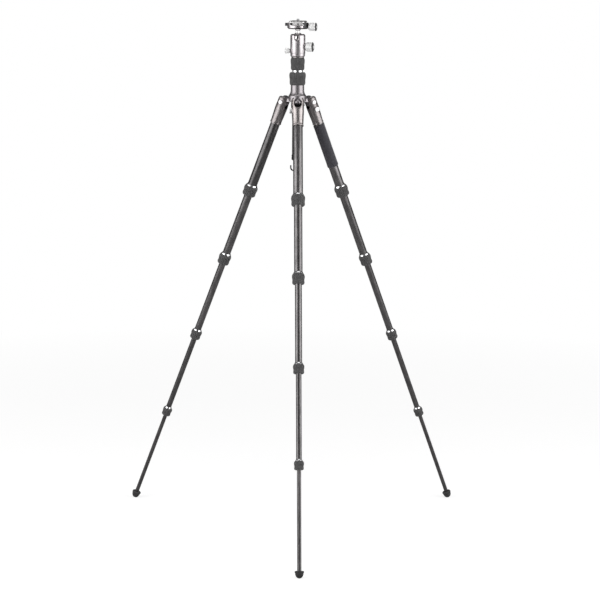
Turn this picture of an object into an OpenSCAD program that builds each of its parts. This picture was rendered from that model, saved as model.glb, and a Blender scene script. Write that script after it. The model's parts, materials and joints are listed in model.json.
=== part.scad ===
// Five-section travel tripod with a two-section centre column and a ball head.
// It stands with its legs spread and every leg section pulled out, and the column pushed down.
// Millimetres, +Z up, floor at z = 0, front leg towards -Y, origin at the bottom centre of its box.

/* [Stance] */
// Angle of each leg from the vertical, in degrees
leg_angle = 22.5; // [18:0.5:27]
// Distance of each leg hinge from the column axis
hinge_radius = 36; // [36:0.5:43]
// Turn of the ball head about the column, in degrees
head_turn = -14; // [-17:1:-13]

/* [Leg tubes] */
// Outside diameter of the thickest leg tube
tube_d = 22; // [20:0.5:22.5]
// Wall of a leg or column tube
tube_wall = 1.2; // [1:0.05:1.4]
// Gap between one tube and the next, filled by a guide bush
tube_gap = 0.4; // [0.35:0.05:0.5]
// Length of the guide bush at the hidden end of each inner tube
guide_len = 22; // [16:1:26]

/* [Leg sections] */
// Bare length of tube 1 between its casting and lock 1
exposed_1 = 158; // [143:1:183]
// Bare length of tube 2
exposed_2 = 152; // [140:1:152]
// Bare length of tube 3
exposed_3 = 177; // [165:1:177]
// Bare length of tube 4
exposed_4 = 190; // [180:1:190]
// Bare length of tube 5 above the foot
exposed_5 = 219; // [200:1:219]

/* [Twist locks] */
// Length of twist lock 1, with its ring
lock_1_len = 28; // [26:0.5:32]
// Length of twist lock 2
lock_2_len = 28; // [26:0.5:32]
// Length of twist lock 3
lock_3_len = 25; // [23:0.5:29]
// Length of twist lock 4
lock_4_len = 23; // [21:0.5:27]
// How far a leg lock stands out from its thicker tube
lock_bulge = 5; // [4.6:0.1:5.2]
// Height of the bright ring at the thick end of a lock
ring_h = 3.6; // [3:0.1:4.4]
// Wall of the threaded collar under a lock
collar_wall = 1.5; // [1.2:0.05:1.7]
// Length of the slotted collet that grips the inner tube
collet_len = 7; // [6:0.25:8.5]
// Thickness of the lip at the thin end of a lock
lock_lip = 3.2; // [2.6:0.1:4]
// Height of the taper that squeezes the collet
taper_h = 2.6; // [2:0.1:3.2]
// Number of slots that split a collet
collet_slots = 6; // [4:1:8]

/* [Top castings] */
// Radius of a top casting round its hinge
casting_r = 14; // [13.6:0.1:14.4]
// Radius of a top casting at its lower end
casting_end_r = 12.4; // [12.2:0.1:13.2]
// Length of a top casting below its hinge
casting_drop = 53; // [50:1:60]
// Height of the flared rim at its lower end
rim_h = 3; // [2:0.25:4]
// How far the flared rim stands out
rim_out = 0.7; // [0.4:0.1:1]
// Width of the slot between the two ears
fork_gap = 18; // [17:0.25:18.5]
// Depth of that slot below the hinge
fork_drop = 13; // [12.8:0.1:14]
// Diameter of the pivot bolt
pin_d = 6; // [5:0.25:7]
// Diameter of the bolt's round cap
cap_d = 9.6; // [9:0.2:11]
// Height of the bolt's round cap
cap_h = 1.4; // [1:0.1:2]
// Distance from the casting's side to which tube 1 reaches up
socket_top = 30; // [29:0.5:34]

/* [Angle tabs] */
// Distance of the pull tab below the hinge
tab_drop = 17.5; // [17.5:0.25:19]
// Height of the pull tab along the leg
tab_h = 10; // [8.5:0.25:10.5]
// Width of the pull tab
tab_w = 10.4; // [9:0.2:11]
// How far the tab stands out from the casting
tab_out = 4.6; // [3.8:0.2:5.5]
// Height of the tongue that stops the leg
tongue_h = 3.6; // [3:0.1:4]

/* [Grip and feet] */
// Thickness of the foam grip on one leg
sleeve_wall = 2; // [1.6:0.1:2.2]
// Length of that grip
sleeve_len = 107; // [92:1:120]
// Radius of the foot's widest rim
foot_r = 10.3; // [9.6:0.1:11.2]
// Radius of the foot's rounded end
foot_ball_r = 8.5; // [8:0.1:9]
// Distance from the foot's top to the middle of its rounded end
foot_drop = 8; // [7.2:0.1:9]

/* [Shoulder] */
// Diameter of the shoulder's neck
neck_d = 30.6; // [29.8:0.2:32]
// Height of the neck's top above the hinges
neck_h = 39.6; // [37:0.5:45]
// Radius of the hub between the arms
hub_r = 20; // [19:0.25:20.5]
// Height above the hinges at which the neck starts to flare
flare_top = 28; // [26:0.5:32]
// Height of the hub's underside above the hinges
hub_low = 3; // [1.5:0.5:6]
// Height of the guide tube below the hinges
hub_down = 13; // [12:0.5:16]
// Radius of the hollow flare between neck and hub
hub_fillet = 18; // [15:0.5:20]
// Radius of the rounded bar that forms each arm
arm_round = 8.7; // [8:0.1:8.7]
// How far the two rounds of an arm stand above and below the hinge
arm_offset = 3.5; // [3:0.1:3.7]
// Diameter of the two small holes in each arm
arm_hole_d = 3; // [2.4:0.1:3.4]

/* [Centre column] */
// Diameter of the outer column tube
column_d = 23; // [22:0.25:23.2]
// Bare height of the bright ring between the two column locks
column_ring_h = 5.3; // [4.5:0.1:6.5]
// How far that ring stands out from the column
column_ring_out = 0.4; // [0.3:0.05:0.6]
// Length of the outer column below the hinges
column_drop = 120; // [110:1:140]
// Length of the lower column lock
low_lock_len = 28.4; // [27:0.2:32]
// Greatest radius of the lower column lock
low_lock_r = 18.9; // [18.4:0.1:19.3]
// Length of the upper column lock
high_lock_len = 27.9; // [26:0.1:31]
// Greatest radius of the upper column lock
high_lock_r = 16.2; // [15.8:0.1:17]
// Height of the cap on the column's lower end
end_cap_h = 12; // [10:0.5:15]
// Radius of that cap
end_cap_r = 12.4; // [12.2:0.1:13]

/* [Bag hook] */
// Radius of the hook's bend
hook_r = 7; // [6.5:0.25:8]
// Radius of the hook's wire
hook_wire_r = 1.7; // [1.4:0.1:2]
// Drop of the bend's middle below the cap
hook_drop = 14; // [12:0.5:18]
// Height of the hook's open tip above the bend's middle
hook_tip = 4; // [2:0.5:5]

/* [Head platform] */
// Radius of the platform on the inner column
platform_r = 14.6; // [13.5:0.1:15.5]
// Thickness of the platform
platform_h = 2.2; // [1.8:0.1:3]
// Diameter of the stud that holds the head
stud_d = 9.5; // [9:0.25:10]
// Height of the panning base
pan_base_h = 6.6; // [5.6:0.2:8]

/* [Ball head] */
// Radius of the head's housing
housing_r = 17; // [16.4:0.1:17.2]
// Height of the housing
housing_h = 44; // [42:0.5:46]
// Radius of the round at the housing's top edge
housing_round = 4; // [3:0.25:4.4]
// Radius of the ball
ball_r = 12.5; // [12:0.1:12.8]
// Distance of the ball's middle below the housing's top
ball_drop = 8.6; // [8:0.1:9]
// Diameter of the ball's stem
stem_d = 9; // [8.5:0.25:10]
// Width of the drop notch in the housing
notch_w = 11.6; // [11.2:0.2:13]
// Height of the clamp's underside above the ball's middle
stem_reach = 20.6; // [20:0.2:22]

/* [Knobs] */
// Height of the main knob's axis above the housing's foot
main_knob_up = 15.4; // [14:0.2:16]
// Radius of the main knob
main_knob_r = 10.4; // [9:0.1:10.4]
// Distance of the main knob's end from the column axis
main_knob_reach = 36.4; // [34:0.2:40]
// Height of the pan knob's axis above the housing's foot
pan_knob_up = 6.6; // [6.4:0.1:7.5]
// Radius of the pan knob
pan_knob_r = 5.9; // [5:0.1:6.2]
// Distance of the pan knob's end from the column axis
pan_knob_reach = 30; // [28:0.2:33]
// Angle of the pan knob from the main knob, in degrees
pan_knob_turn = 206; // [200:1:212]

/* [Quick-release clamp] */
// Radius of the round clamp
clamp_r = 24.2; // [23.6:0.1:24.3]
// Thickness of the clamp's floor
clamp_floor = 7.6; // [7.2:0.1:8.2]
// Height of the whole clamp
clamp_h = 13.6; // [13:0.1:15]
// Height of the clamp knob's axis above the clamp's underside
clamp_knob_up = 4.9; // [4.6:0.1:5.4]
// Radius of the clamp knob
clamp_knob_r = 9; // [8:0.1:9.4]
// Distance of the clamp knob's end from the clamp's middle
clamp_knob_reach = 43.5; // [41:0.25:47]
// Radius of the spirit level's cup
level_r = 4.4; // [4:0.1:4.6]

/* [Camera plate] */
// Width of the plate across its dovetail
plate_w = 36; // [34:0.25:36.5]
// Length of the plate along its dovetail
plate_l = 38; // [34:0.25:38]
// Thickness of the plate's top slab
plate_slab = 2.4; // [2.2:0.1:3.6]
// Thickness of the plate's rubber pad
pad_h = 1; // [0.8:0.1:1.6]
// Thread radius of the camera screw
screw_r = 3.175; // [3:0.025:3.3]
// How far the camera screw stands above the pad
screw_out = 4.4; // [4:0.1:6]

/* [Hidden] */
// Clearances
play = 0.3;
turn_gap = 0.1;
fit_gap = 0.08;
glue_gap = 0.04;
// One overrun for every cut
over = 1;
$fn = 96;
small_fn = 48;

leg_names = ["left", "front", "right"];
leg_turns = [150, -90, 30];
sections = [1, 2, 3, 4, 5];
locks = [1, 2, 3, 4];

// Small sizes of single pieces
ring_start = 0.5;
ring_step = 2.2;
lock_step = 2.4;
bush_wall = 1.3;
spigot_wall = 1.4;
cone_start = 0.4;
taper_step = 0.9;
collet_step = 0.6;
slot_w = 1;
knuckle_cut = 7.4;
knuckle_top = 3.4;
stop_notch_r = 1.3;
stop_angles = [22.5, 50, 78];
arm_step = 0.35;
arm_low = 1;
arm_hole_turn = 34;
arm_hole_gap = 7.8;
arm_hole_deep = 4;
casting_taper_t = 18;
ear_up = 6.5;
ear_round = 9;
boss_rim = 0.9;
boss_step = 0.3;
tab_neck = 2.4;
tab_round = 2.5;
tongue_reach = 5.2;
sleeve_start = 3;
sleeve_round = 1.6;
foot_rim_h = 3;
foot_edge = 0.9;
foot_bell = 2.2;
hub_tube_wall = 1.4;
neck_lip_h = 1.2;
neck_lip = 0.8;
bush_flange = 1.6;
cap_chamfer = 1.6;
plug_len = 9;
hook_boss_r = 4;
hook_boss_h = 3;
stub_len = 18;
stud_up = 5.4;
stud_down = 9;
pan_chamfer = 0.8;
pan_groove = 0.7;
pivot_r = 9;
pivot_h = 4;
mouth_low = 5;
boss_out = 1.3;
knob_gap = 0.6;
shank_r = 3;
shank_deep = 9;
band_h = 4;
band_out = 0.3;
knob_neck_h = 2.6;
knob_end = 1;
knob_end_share = 0.78;
clamp_chamfer = 2.6;
jaw_travel_gap = 0.4;
guide_pin_r = 1.6;
guide_pin_gap = 11;
guide_pin_deep = 7;
flank_in = 2.6;
flank_h = 2.8;
lip_clear = 0.9;
waist_clear = 0.3;
plate_round = 6;
pad_inset = 1.4;
pad_groove_w = 1;
pad_groove_gap = 3;
pad_groove_deep = 0.5;
screw_chamfer = 0.7;
centre_hole_r = 1.5;
centre_hole_deep = 1.2;
screw_neck_r = 2.4;
screw_head_r = 7;
screw_head_h = 1.8;
level_h = 4.6;
level_floor = 1.6;
level_lens = 0.8;
level_in = 23.4;
level_side = -4.2;
mouth_share = 0.76;
seam_turn = 40;

// Places along a leg, measured down it from the hinge
exposed = [exposed_1, exposed_2, exposed_3, exposed_4, exposed_5];
lock_len = [lock_1_len, lock_2_len, lock_3_len, lock_4_len];
function upto(list, n) = n <= 0 ? 0 : list[n - 1] + upto(list, n - 1);
function lock_top(i) = casting_drop + upto(exposed, i) + upto(lock_len, i - 1);
foot_top = casting_drop + upto(exposed, len(exposed)) + upto(lock_len, len(lock_len));
leg_len = foot_top + foot_drop;
tube_pitch = tube_wall + tube_gap;
function tube_r(i) = tube_d / 2 - (i - 1) * tube_pitch;
// Inside a lock: where the collet, the taper and the tube's end lie, from the lock's thick end
function taper_t(l) = l - lock_lip - taper_h;
function collet_t(l) = l - lock_lip - play - collet_len;
function tube_top(i) = i == 1 ? socket_top : lock_top(i - 1) + collet_t(lock_len[i - 2]) - play - guide_len;
function tube_end(i) = i == len(sections) ? foot_top + foot_drop + foot_ball_r / 2 - glue_gap
    : lock_top(i) + collet_t(lock_len[i - 1]) - play;

// Heights of the hinges and of the parts on the column
hinge_z = foot_ball_r + leg_len * cos(leg_angle);
foot_circle_r = hinge_radius + leg_len * sin(leg_angle);
rim_t = foot_top + foot_rim_h;
rim_circle_r = hinge_radius + rim_t * sin(leg_angle);
front_reach = foot_circle_r + foot_ball_r;
back_reach = rim_circle_r / 2 + foot_r * sqrt(1 - pow(sin(leg_angle) / 2, 2));
axis_y = (front_reach - back_reach) / 2;
neck_z = hinge_z + neck_h;
low_lock_z = neck_z + play;
column_ring_z = low_lock_z + low_lock_len;
high_lock_z = column_ring_z + column_ring_h;
platform_z = high_lock_z + high_lock_len + play;
pan_base_z = platform_z + platform_h;
housing_z = pan_base_z + pan_base_h + fit_gap;
ball_z = housing_z + housing_h - ball_drop;
clamp_z = ball_z + stem_reach;
column_bottom = hinge_z - column_drop;

// Widths and lengths that follow from the sizes above
arm_half = fork_gap / 2 - play;
arm_r = min(arm_round, arm_half);
slot_round_z = fork_drop - fork_gap / 2;
rim_r = casting_end_r + rim_out;
column_r = column_d / 2;
inner_column_r = column_r - tube_pitch;
spigot_r = column_r + spigot_wall + bush_wall;
notch_r = notch_w / 2;
stem_r = stem_d / 2;
plate_z = clamp_floor + play;
jaw_split = plate_w / 2 - flank_in + waist_clear;
dovetail_h = clamp_h - plate_z + lip_clear;
// The grip of a lock, from its thick end: [share of the length, share of the bulge]
leg_grip_shares = [[0.18, 0.66], [0.25, 0.86], [0.33, 0.98], [0.41, 1], [0.5, 0.94], [0.6, 0.82], [0.7, 0.79],
    [0.8, 0.86], [0.89, 0.88], [0.96, 0.76], [1, 0.56]];
low_grip_shares = [[0, 0.62], [0.05, 0.74], [0.12, 0.83], [0.22, 0.85], [0.34, 0.83], [0.45, 0.84], [0.56, 0.92],
    [0.68, 0.99], [0.78, 1], [0.88, 0.95], [0.95, 0.82], [1, 0.6]];
high_grip_shares = [[0, 0.5], [0.06, 0.72], [0.14, 0.85], [0.25, 0.87], [0.36, 0.83], [0.46, 0.84], [0.56, 0.93],
    [0.68, 0.99], [0.77, 1], [0.87, 0.93], [0.95, 0.74], [1, 0.5]];

// Frames

module on_axis(z) {
    translate([0, axis_y, z]) children();
}

// One leg: hinge at the origin, the leg down -Z, +X away from the column, the hinge pin along Y
module on_leg(k) {
    on_axis(hinge_z) rotate([0, 0, leg_turns[k]]) translate([hinge_radius, 0, 0])
        rotate([0, -leg_angle, 0]) children();
}

module down(t) {
    translate([0, 0, -t]) children();
}

// The head turns with its pan joint: +X to the main knob, -Y to the drop notch
module on_head(z) {
    on_axis(z) rotate([0, 0, head_turn]) children();
}

// A cylinder along +X that starts at x and is l long
module rod_x(r, x, l) {
    translate([x, 0, 0]) rotate([0, 90, 0]) cylinder(h = l, r = r);
}

// A cylinder along Y, centred
module rod_y(r, l) {
    rotate([90, 0, 0]) cylinder(h = l, r = r, center = true);
}

module ring(r, bore, h) {
    difference() {
        cylinder(h = h, r = r);
        translate([0, 0, -over]) cylinder(h = h + 2 * over, r = bore);
    }
}

// Twist locks: z = 0 at the thick end, thin end at z = -l

// Slotted ring between the collar and the thin tube, with a taper at its lower end
module collet(l, thick, thin) {
    down(l - lock_lip - play) difference() {
        rotate_extrude() polygon([
            [thin + fit_gap, 0], [thin + collet_step, 0], [thick - glue_gap, taper_h],
            [thick - glue_gap, collet_len], [thin + fit_gap, collet_len]]);
        for (a = [0:360 / collet_slots:359]) rotate([0, 0, a]) translate([0, -slot_w / 2, -over])
            cube([thick + over, slot_w, collet_len - taper_h + over]);
    }
}

// Glued collar that carries the thread, with the bright ring at its top
module collar(l, thick) {
    rotate_extrude() polygon([
        [thick, 0], [thick + ring_start, 0], [thick + ring_step, -ring_h], [thick + collar_wall, -ring_h],
        [thick + collar_wall, -taper_t(l) + play], [thick, -taper_t(l) + play]]);
}

// The turned grip. shares gives its outline from the thick end, top is where it starts
module grip(l, thick, thin, bulge, shares, start) {
    cavity = thick + collar_wall + turn_gap;
    rotate_extrude() polygon(concat(
        [[cavity, -start]],
        start > 0 ? [[thick + lock_step, -start]] : [],
        [for (s = shares) [bulge * s[1] + thick * (1 - s[1]), -l * s[0]]],
        [[thin + play, -l], [thin + play, -l + lock_lip], [thin + taper_step, -l + lock_lip],
         [thick + cone_start, -taper_t(l)], [cavity, -taper_t(l)]]));
}

module leg_lock(i) {
    color("dimgray") down(lock_top(i)) grip(lock_len[i - 1], tube_r(i), tube_r(i + 1),
        tube_r(i) + lock_bulge, leg_grip_shares, ring_h + play);
}

// Legs

module leg_tube(i) {
    color("#26262a") {
        down(tube_end(i)) ring(tube_r(i), tube_r(i) - tube_wall, tube_end(i) - tube_top(i));
        if (i > 1) down(tube_top(i) + guide_len)
            ring(tube_r(i) + tube_gap - turn_gap, tube_r(i), guide_len);
    }
    if (i < len(sections)) down(lock_top(i)) {
        color("silver") collar(lock_len[i - 1], tube_r(i));
        color("ivory") collet(lock_len[i - 1], tube_r(i), tube_r(i + 1));
    }
}

module fork_slot() {
    rotate([90, 0, 90]) linear_extrude(4 * casting_r, center = true) {
        translate([0, -slot_round_z]) circle(fork_gap / 2);
        translate([-fork_gap / 2, -slot_round_z]) square([fork_gap, slot_round_z + 2 * casting_r]);
    }
}

module top_casting() {
    color("#8d8b8b") difference() {
        union() {
            intersection() {
                rotate_extrude() difference() {
                    polygon([
                        [0, ear_up + ear_round], [casting_r, ear_up + ear_round], [casting_r, -casting_taper_t],
                        [casting_end_r, -casting_drop + rim_h], [rim_r, -casting_drop + rim_h / 2],
                        [rim_r, -casting_drop], [0, -casting_drop]]);
                    difference() {
                        translate([casting_r - ear_round, ear_up]) square(2 * ear_round);
                        translate([casting_r - ear_round, ear_up]) circle(ear_round);
                    }
                }
                rotate([90, 0, 0]) linear_extrude(4 * casting_r, center = true) {
                    circle(casting_r);
                    translate([-casting_r, -casting_drop - over]) square([2 * casting_r, casting_drop + over]);
                }
            }
            rod_y(cap_d / 2 + boss_rim, 2 * (casting_r + boss_step));
        }
        fork_slot();
        rod_y(pin_d / 2 + fit_gap, 4 * casting_r);
        down(casting_drop + over) cylinder(h = casting_drop - socket_top + over, r = tube_r(1) + glue_gap);
        tab_pocket();
    }
}

// Window in the ear on the clockwise side, where the angle tab slides
module tab_pocket() {
    translate([-tab_w / 2 - play, -2 * casting_r, -tab_drop - tab_h / 2 - play])
        cube([tab_w + 2 * play, 2 * casting_r - fork_gap / 2 - tab_neck, tab_h + 2 * play]);
    translate([-tab_w / 4 - play, -2 * casting_r, -tab_drop + tab_h / 2 - tongue_h - play])
        cube([tab_w / 2 + 2 * play, 2 * casting_r - tongue_reach + play, tongue_h + 2 * play]);
}

module angle_tab() {
    color("gainsboro") {
        translate([-tab_w / 2, -casting_r - tab_out, -tab_drop - tab_h / 2]) intersection() {
            cube([tab_w, casting_r + tab_out - fork_gap / 2 - tab_neck - play, tab_h]);
            translate([tab_w / 2, 0, tab_h / 2]) rod_y(norm([tab_w, tab_h]) / 2 - tab_round / 2, 4 * casting_r);
        }
        translate([-tab_w / 4, -fork_gap / 2 - tab_neck - play - over, -tab_drop + tab_h / 2 - tongue_h])
            cube([tab_w / 2, fork_gap / 2 + tab_neck + play + over - tongue_reach, tongue_h]);
    }
}

module foot() {
    inner = tube_r(len(sections));
    r = foot_ball_r;
    color("#222222") down(foot_top + foot_drop) difference() {
        union() {
            rotate_extrude() polygon([
                [0, foot_drop], [inner + foot_edge, foot_drop], [foot_r - foot_edge, foot_drop - foot_edge / 2],
                [foot_r, foot_drop - foot_rim_h / 2], [foot_r, foot_drop - foot_rim_h],
                [sqrt(pow(r, 2) - pow(foot_bell, 2)) - foot_edge / 2, -foot_bell], [0, -foot_bell]]);
            intersection() {
                sphere(r);
                translate([-2 * r, -2 * r, -2 * r]) cube([4 * r, 4 * r, 2 * r + foot_drop / 2]);
            }
        }
        down(r / 2) cylinder(h = foot_drop + r, r = inner + glue_gap);
    }
}

module grip_sleeve() {
    color("#33333a") down(casting_drop + sleeve_start + sleeve_len) rotate_extrude() polygon([
        [tube_r(1) + glue_gap, 0], [tube_r(1) + sleeve_wall / 2, 0], [tube_r(1) + sleeve_wall, sleeve_round],
        [tube_r(1) + sleeve_wall, sleeve_len - sleeve_round], [tube_r(1) + sleeve_wall / 2, sleeve_len],
        [tube_r(1) + glue_gap, sleeve_len]]);
}

// Shoulder

module arm_outline() {
    r = arm_r - arm_step;
    translate([0, arm_offset]) intersection() {
        circle(r);
        translate([-2 * r, 0]) square([4 * r, 2 * r]);
    }
    translate([-r, arm_low]) square([2 * r, arm_offset - arm_low]);
}

// Rounded knuckle that turns between the ears
module knuckle() {
    rotate([90, 0, 0]) rotate_extrude() {
        intersection() {
            translate([arm_offset, 0]) circle(arm_r);
            translate([arm_offset, -2 * arm_r]) square([4 * arm_r, 4 * arm_r]);
        }
        translate([0, -arm_r]) square([arm_offset, 2 * arm_r]);
    }
}

// Open corner under the knuckle with the notches of the leg angles
module stop_recess() {
    difference() {
        translate([-over, -2 * arm_r, -4 * arm_r]) cube([4 * arm_r, 4 * arm_r, 4 * arm_r + knuckle_top]);
        rod_y(knuckle_cut, 6 * arm_r);
    }
    for (a = stop_angles) rotate([0, 90 - a, 0]) translate([knuckle_cut, 0, 0]) rod_y(stop_notch_r, 6 * arm_r);
}

module arm() {
    difference() {
        union() {
            translate([hinge_radius, 0, 0]) knuckle();
            rotate([90, 0, 90]) linear_extrude(hinge_radius) arm_outline();
        }
        translate([hinge_radius, 0, 0]) {
            stop_recess();
            rod_y(pin_d / 2 + glue_gap, 6 * arm_r);
        }
        for (s = [-1, 1]) translate([hinge_radius, s * arm_hole_gap / 2, arm_offset]) rotate([0, arm_hole_turn, 0])
            translate([0, 0, arm_r - arm_hole_deep]) cylinder(h = 2 * arm_hole_deep, d = arm_hole_d, $fn = small_fn);
    }
}

module shoulder() {
    neck_r = neck_d / 2;
    bore = column_r + bush_wall + fit_gap + glue_gap;
    hub_tube_r = bore + hub_tube_wall;
    color("#77777b") on_axis(hinge_z) difference() {
        union() {
            for (a = leg_turns) rotate([0, 0, a]) arm();
            translate([0, 0, hub_low + neck_lip_h]) cylinder(h = neck_h - hub_low - neck_lip_h, r = neck_r);
            rotate_extrude() difference() {
                polygon([
                    [0, -hub_down], [hub_tube_r - neck_lip, -hub_down], [hub_tube_r, -hub_down + neck_lip_h],
                    [hub_tube_r, hub_low - neck_lip_h], [hub_r - neck_lip, hub_low],
                    [hub_r, hub_low + neck_lip_h], [hub_r, flare_top], [0, flare_top]]);
                translate([neck_r + hub_fillet, flare_top]) circle(hub_fillet);
            }
            translate([0, 0, neck_h]) cylinder(h = taper_t(low_lock_len), r = spigot_r);
        }
        down(hub_down + over) cylinder(h = 2 * neck_h + hub_down, r = bore);
    }
}

// Three bolts, each with a round cap at both ends
module pivot_bolts() {
    color("whitesmoke") for (a = leg_turns) on_axis(hinge_z) rotate([0, 0, a]) translate([hinge_radius, 0, 0])
        rotate([0, -leg_angle, 0]) {
            rod_y(pin_d / 2, 2 * casting_r + cap_h);
            for (s = [-1, 1]) translate([0, s * (casting_r + boss_step + cap_h / 2 + fit_gap), 0])
                rod_y(cap_d / 2, cap_h);
        }
}

// Column

module column_bush() {
    l = low_lock_len;
    color("ivory") on_axis(hinge_z) difference() {
        union() {
            down(hub_down - bush_flange) cylinder(h = neck_h + hub_down - bush_flange + taper_t(l),
                r = column_r + bush_wall);
            translate([0, 0, neck_h + taper_t(l)]) cylinder(h = taper_h, r1 = column_r + bush_wall,
                r2 = column_r + collet_step);
        }
        down(hub_down + over) cylinder(h = 2 * neck_h + hub_down + l, r = column_r + fit_gap);
        for (a = [0:360 / collet_slots:359]) rotate([0, 0, a]) translate([0, -slot_w / 2, neck_h + play])
            cube([2 * column_r, slot_w, l]);
    }
}

module lower_column_lock() {
    l = low_lock_len;
    thick = spigot_r - collar_wall;
    color("#4a4a4c") on_axis(low_lock_z) rotate([180, 0, 0])
        grip(l, thick, column_r, low_lock_r, low_grip_shares, 0);
}

module outer_column() {
    l = high_lock_len;
    top = column_ring_h + collet_t(l) - play;
    on_axis(column_ring_z) {
        color("#26262a") down(column_ring_z - column_bottom)
            ring(column_r, column_r - tube_wall, column_ring_z - column_bottom + top);
        color("silver") {
            translate([0, 0, play]) ring(column_r + column_ring_out, column_r, column_ring_h - 2 * play);
            translate([0, 0, column_ring_h - play]) ring(column_r + collar_wall, column_r, taper_t(l));
        }
        color("ivory") translate([0, 0, column_ring_h]) rotate([180, 0, 0]) collet(l, column_r, inner_column_r);
    }
}

module upper_column_lock() {
    color("#4a4a4c") on_axis(high_lock_z) rotate([180, 0, 0])
        grip(high_lock_len, column_r, inner_column_r, high_lock_r, high_grip_shares, 0);
}

module inner_column() {
    bottom = column_bottom + plug_len + play;
    color("#26262a") on_axis(bottom) {
        ring(inner_column_r, inner_column_r - tube_wall, platform_z - bottom);
        ring(inner_column_r + tube_gap - turn_gap, inner_column_r, guide_len);
    }
}

module column_end_cap() {
    color("#3c3c3e") on_axis(column_bottom) difference() {
        union() {
            cylinder(h = plug_len, r = column_r - tube_wall - glue_gap);
            down(end_cap_h) {
                cylinder(h = cap_chamfer, r1 = end_cap_r - cap_chamfer, r2 = end_cap_r);
                translate([0, 0, cap_chamfer]) cylinder(h = end_cap_h - cap_chamfer, r = end_cap_r);
                down(hook_boss_h) cylinder(h = hook_boss_h, r = hook_boss_r);
            }
        }
        down(end_cap_h + hook_boss_h + over) cylinder(h = end_cap_h + hook_boss_h, r = hook_wire_r + fit_gap,
            $fn = small_fn);
    }
}

// A swivelling J hook, open to the left
module bag_hook() {
    color("#3c3c3e") on_axis(column_bottom - end_cap_h - hook_boss_h - hook_drop) {
        translate([-hook_r, 0, 0]) rotate([90, 0, 0]) rotate_extrude(angle = -180)
            translate([hook_r, 0]) circle(hook_wire_r, $fn = small_fn);
        translate([-2 * hook_r, 0, 0]) {
            cylinder(h = hook_tip, r = hook_wire_r, $fn = small_fn);
            translate([0, 0, hook_tip]) sphere(hook_wire_r, $fn = small_fn);
        }
        cylinder(h = hook_drop + hook_boss_h + end_cap_h / 2, r = hook_wire_r, $fn = small_fn);
    }
}

module head_platform() {
    color("#8d8b8b") on_axis(platform_z) difference() {
        union() {
            cylinder(h = platform_h, r = platform_r);
            down(stub_len) cylinder(h = stub_len, r = inner_column_r - tube_wall - glue_gap);
        }
        down(stub_len + over) cylinder(h = stub_len + platform_h + 2 * over, d = stud_d + 2 * glue_gap);
    }
}

module head_stud() {
    color("silver") on_axis(pan_base_z - platform_h - stud_down)
        cylinder(h = stud_down + platform_h + stud_up, d = stud_d);
}

// Ball head

module pan_base() {
    r = housing_r - pan_chamfer / 2;
    color("#9a9796") on_axis(pan_base_z) difference() {
        rotate_extrude() polygon([
            [0, 0], [r - 2 * pan_chamfer, 0], [r, 2 * pan_chamfer], [r, pan_base_h - pan_groove],
            [r - pan_groove, pan_base_h], [pivot_r, pan_base_h], [pivot_r, pan_base_h + pivot_h],
            [0, pan_base_h + pivot_h]]);
        down(over) cylinder(h = stud_up + over, d = stud_d + 2 * glue_gap);
    }
}

// Round seat for the ball with the coned mouth above it
module ball_room() {
    r = ball_r + turn_gap;
    lip = sqrt(pow(r, 2) - pow(mouth_low, 2));
    rotate_extrude() {
        intersection() {
            circle(r);
            translate([0, -2 * r]) square([2 * r, 2 * r + mouth_low]);
        }
        polygon([
            [0, 0], [lip, mouth_low], [lip + ball_drop * mouth_share, mouth_low + ball_drop],
            [0, mouth_low + ball_drop]]);
    }
}

module head_housing() {
    top = housing_h;
    mid = housing_h - ball_drop;
    color("#a5a1a1") on_head(housing_z) difference() {
        union() {
            rotate_extrude() union() {
                square([housing_r - housing_round, top]);
                square([housing_r, top - housing_round]);
                translate([housing_r - housing_round, top - housing_round]) circle(housing_round);
            }
            translate([0, 0, main_knob_up]) rod_x(main_knob_r - 2 * boss_out, 0, housing_r + boss_out);
            rotate([0, 0, pan_knob_turn]) translate([0, 0, pan_knob_up])
                rod_x(pan_knob_r - boss_out, 0, housing_r + boss_out);
        }
        down(over) cylinder(h = pivot_h + play + over, r = pivot_r + fit_gap);
        translate([0, 0, mid]) {
            rotate([0, 0, seam_turn]) ball_room();
            rotate([90, 0, 0]) linear_extrude(2 * housing_r) {
                circle(notch_r);
                translate([-notch_r, 0]) square([notch_w, housing_h]);
            }
        }
        translate([0, 0, main_knob_up]) rod_x(shank_r + fit_gap, housing_r + boss_out - shank_deep, 2 * shank_deep);
        rotate([0, 0, pan_knob_turn]) translate([0, 0, pan_knob_up])
            rod_x(shank_r / 2 + fit_gap, housing_r + boss_out - shank_deep, 2 * shank_deep);
    }
}
// The ball has a shallow centre hole at both ends of its tilt axis
module ball_stem() {
    color("#d9d9dc") on_head(ball_z) {
        difference() {
            sphere(ball_r);
            for (s = [-1, 1]) translate([s * ball_r, 0, 0]) rotate([0, 90, 0])
                cylinder(h = 2 * centre_hole_deep, r = centre_hole_r, center = true);
        }
        cylinder(h = stem_reach, r = stem_r);
        translate([0, 0, stem_reach - stem_r / 2]) cylinder(h = stem_r / 2, r1 = stem_r, r2 = 2 * stem_r);
    }
}

// A knob along +X: a coned back, a bright barrel and a dark band before its end
module knob(r, back, reach) {
    neck = min(r / 2, knob_neck_h);
    band = reach - knob_end - band_h;
    rotate([0, 90, 0]) rotate_extrude() polygon([
        [0, back], [r - neck, back], [r, back + neck], [r, band], [r + band_out, band],
        [r + band_out, reach - knob_end - band_out], [r - band_out, reach - knob_end],
        [r * knob_end_share, reach - knob_end], [r * knob_end_share, reach - band_out],
        [r * knob_end_share - band_out, reach], [0, reach]]);
}

module main_knob() {
    back = housing_r + boss_out + knob_gap;
    color("gainsboro") on_head(housing_z + main_knob_up) {
        knob(main_knob_r, back, main_knob_reach);
        rod_x(shank_r, back - knob_gap - shank_deep + play, shank_deep + knob_gap);
    }
}

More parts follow.
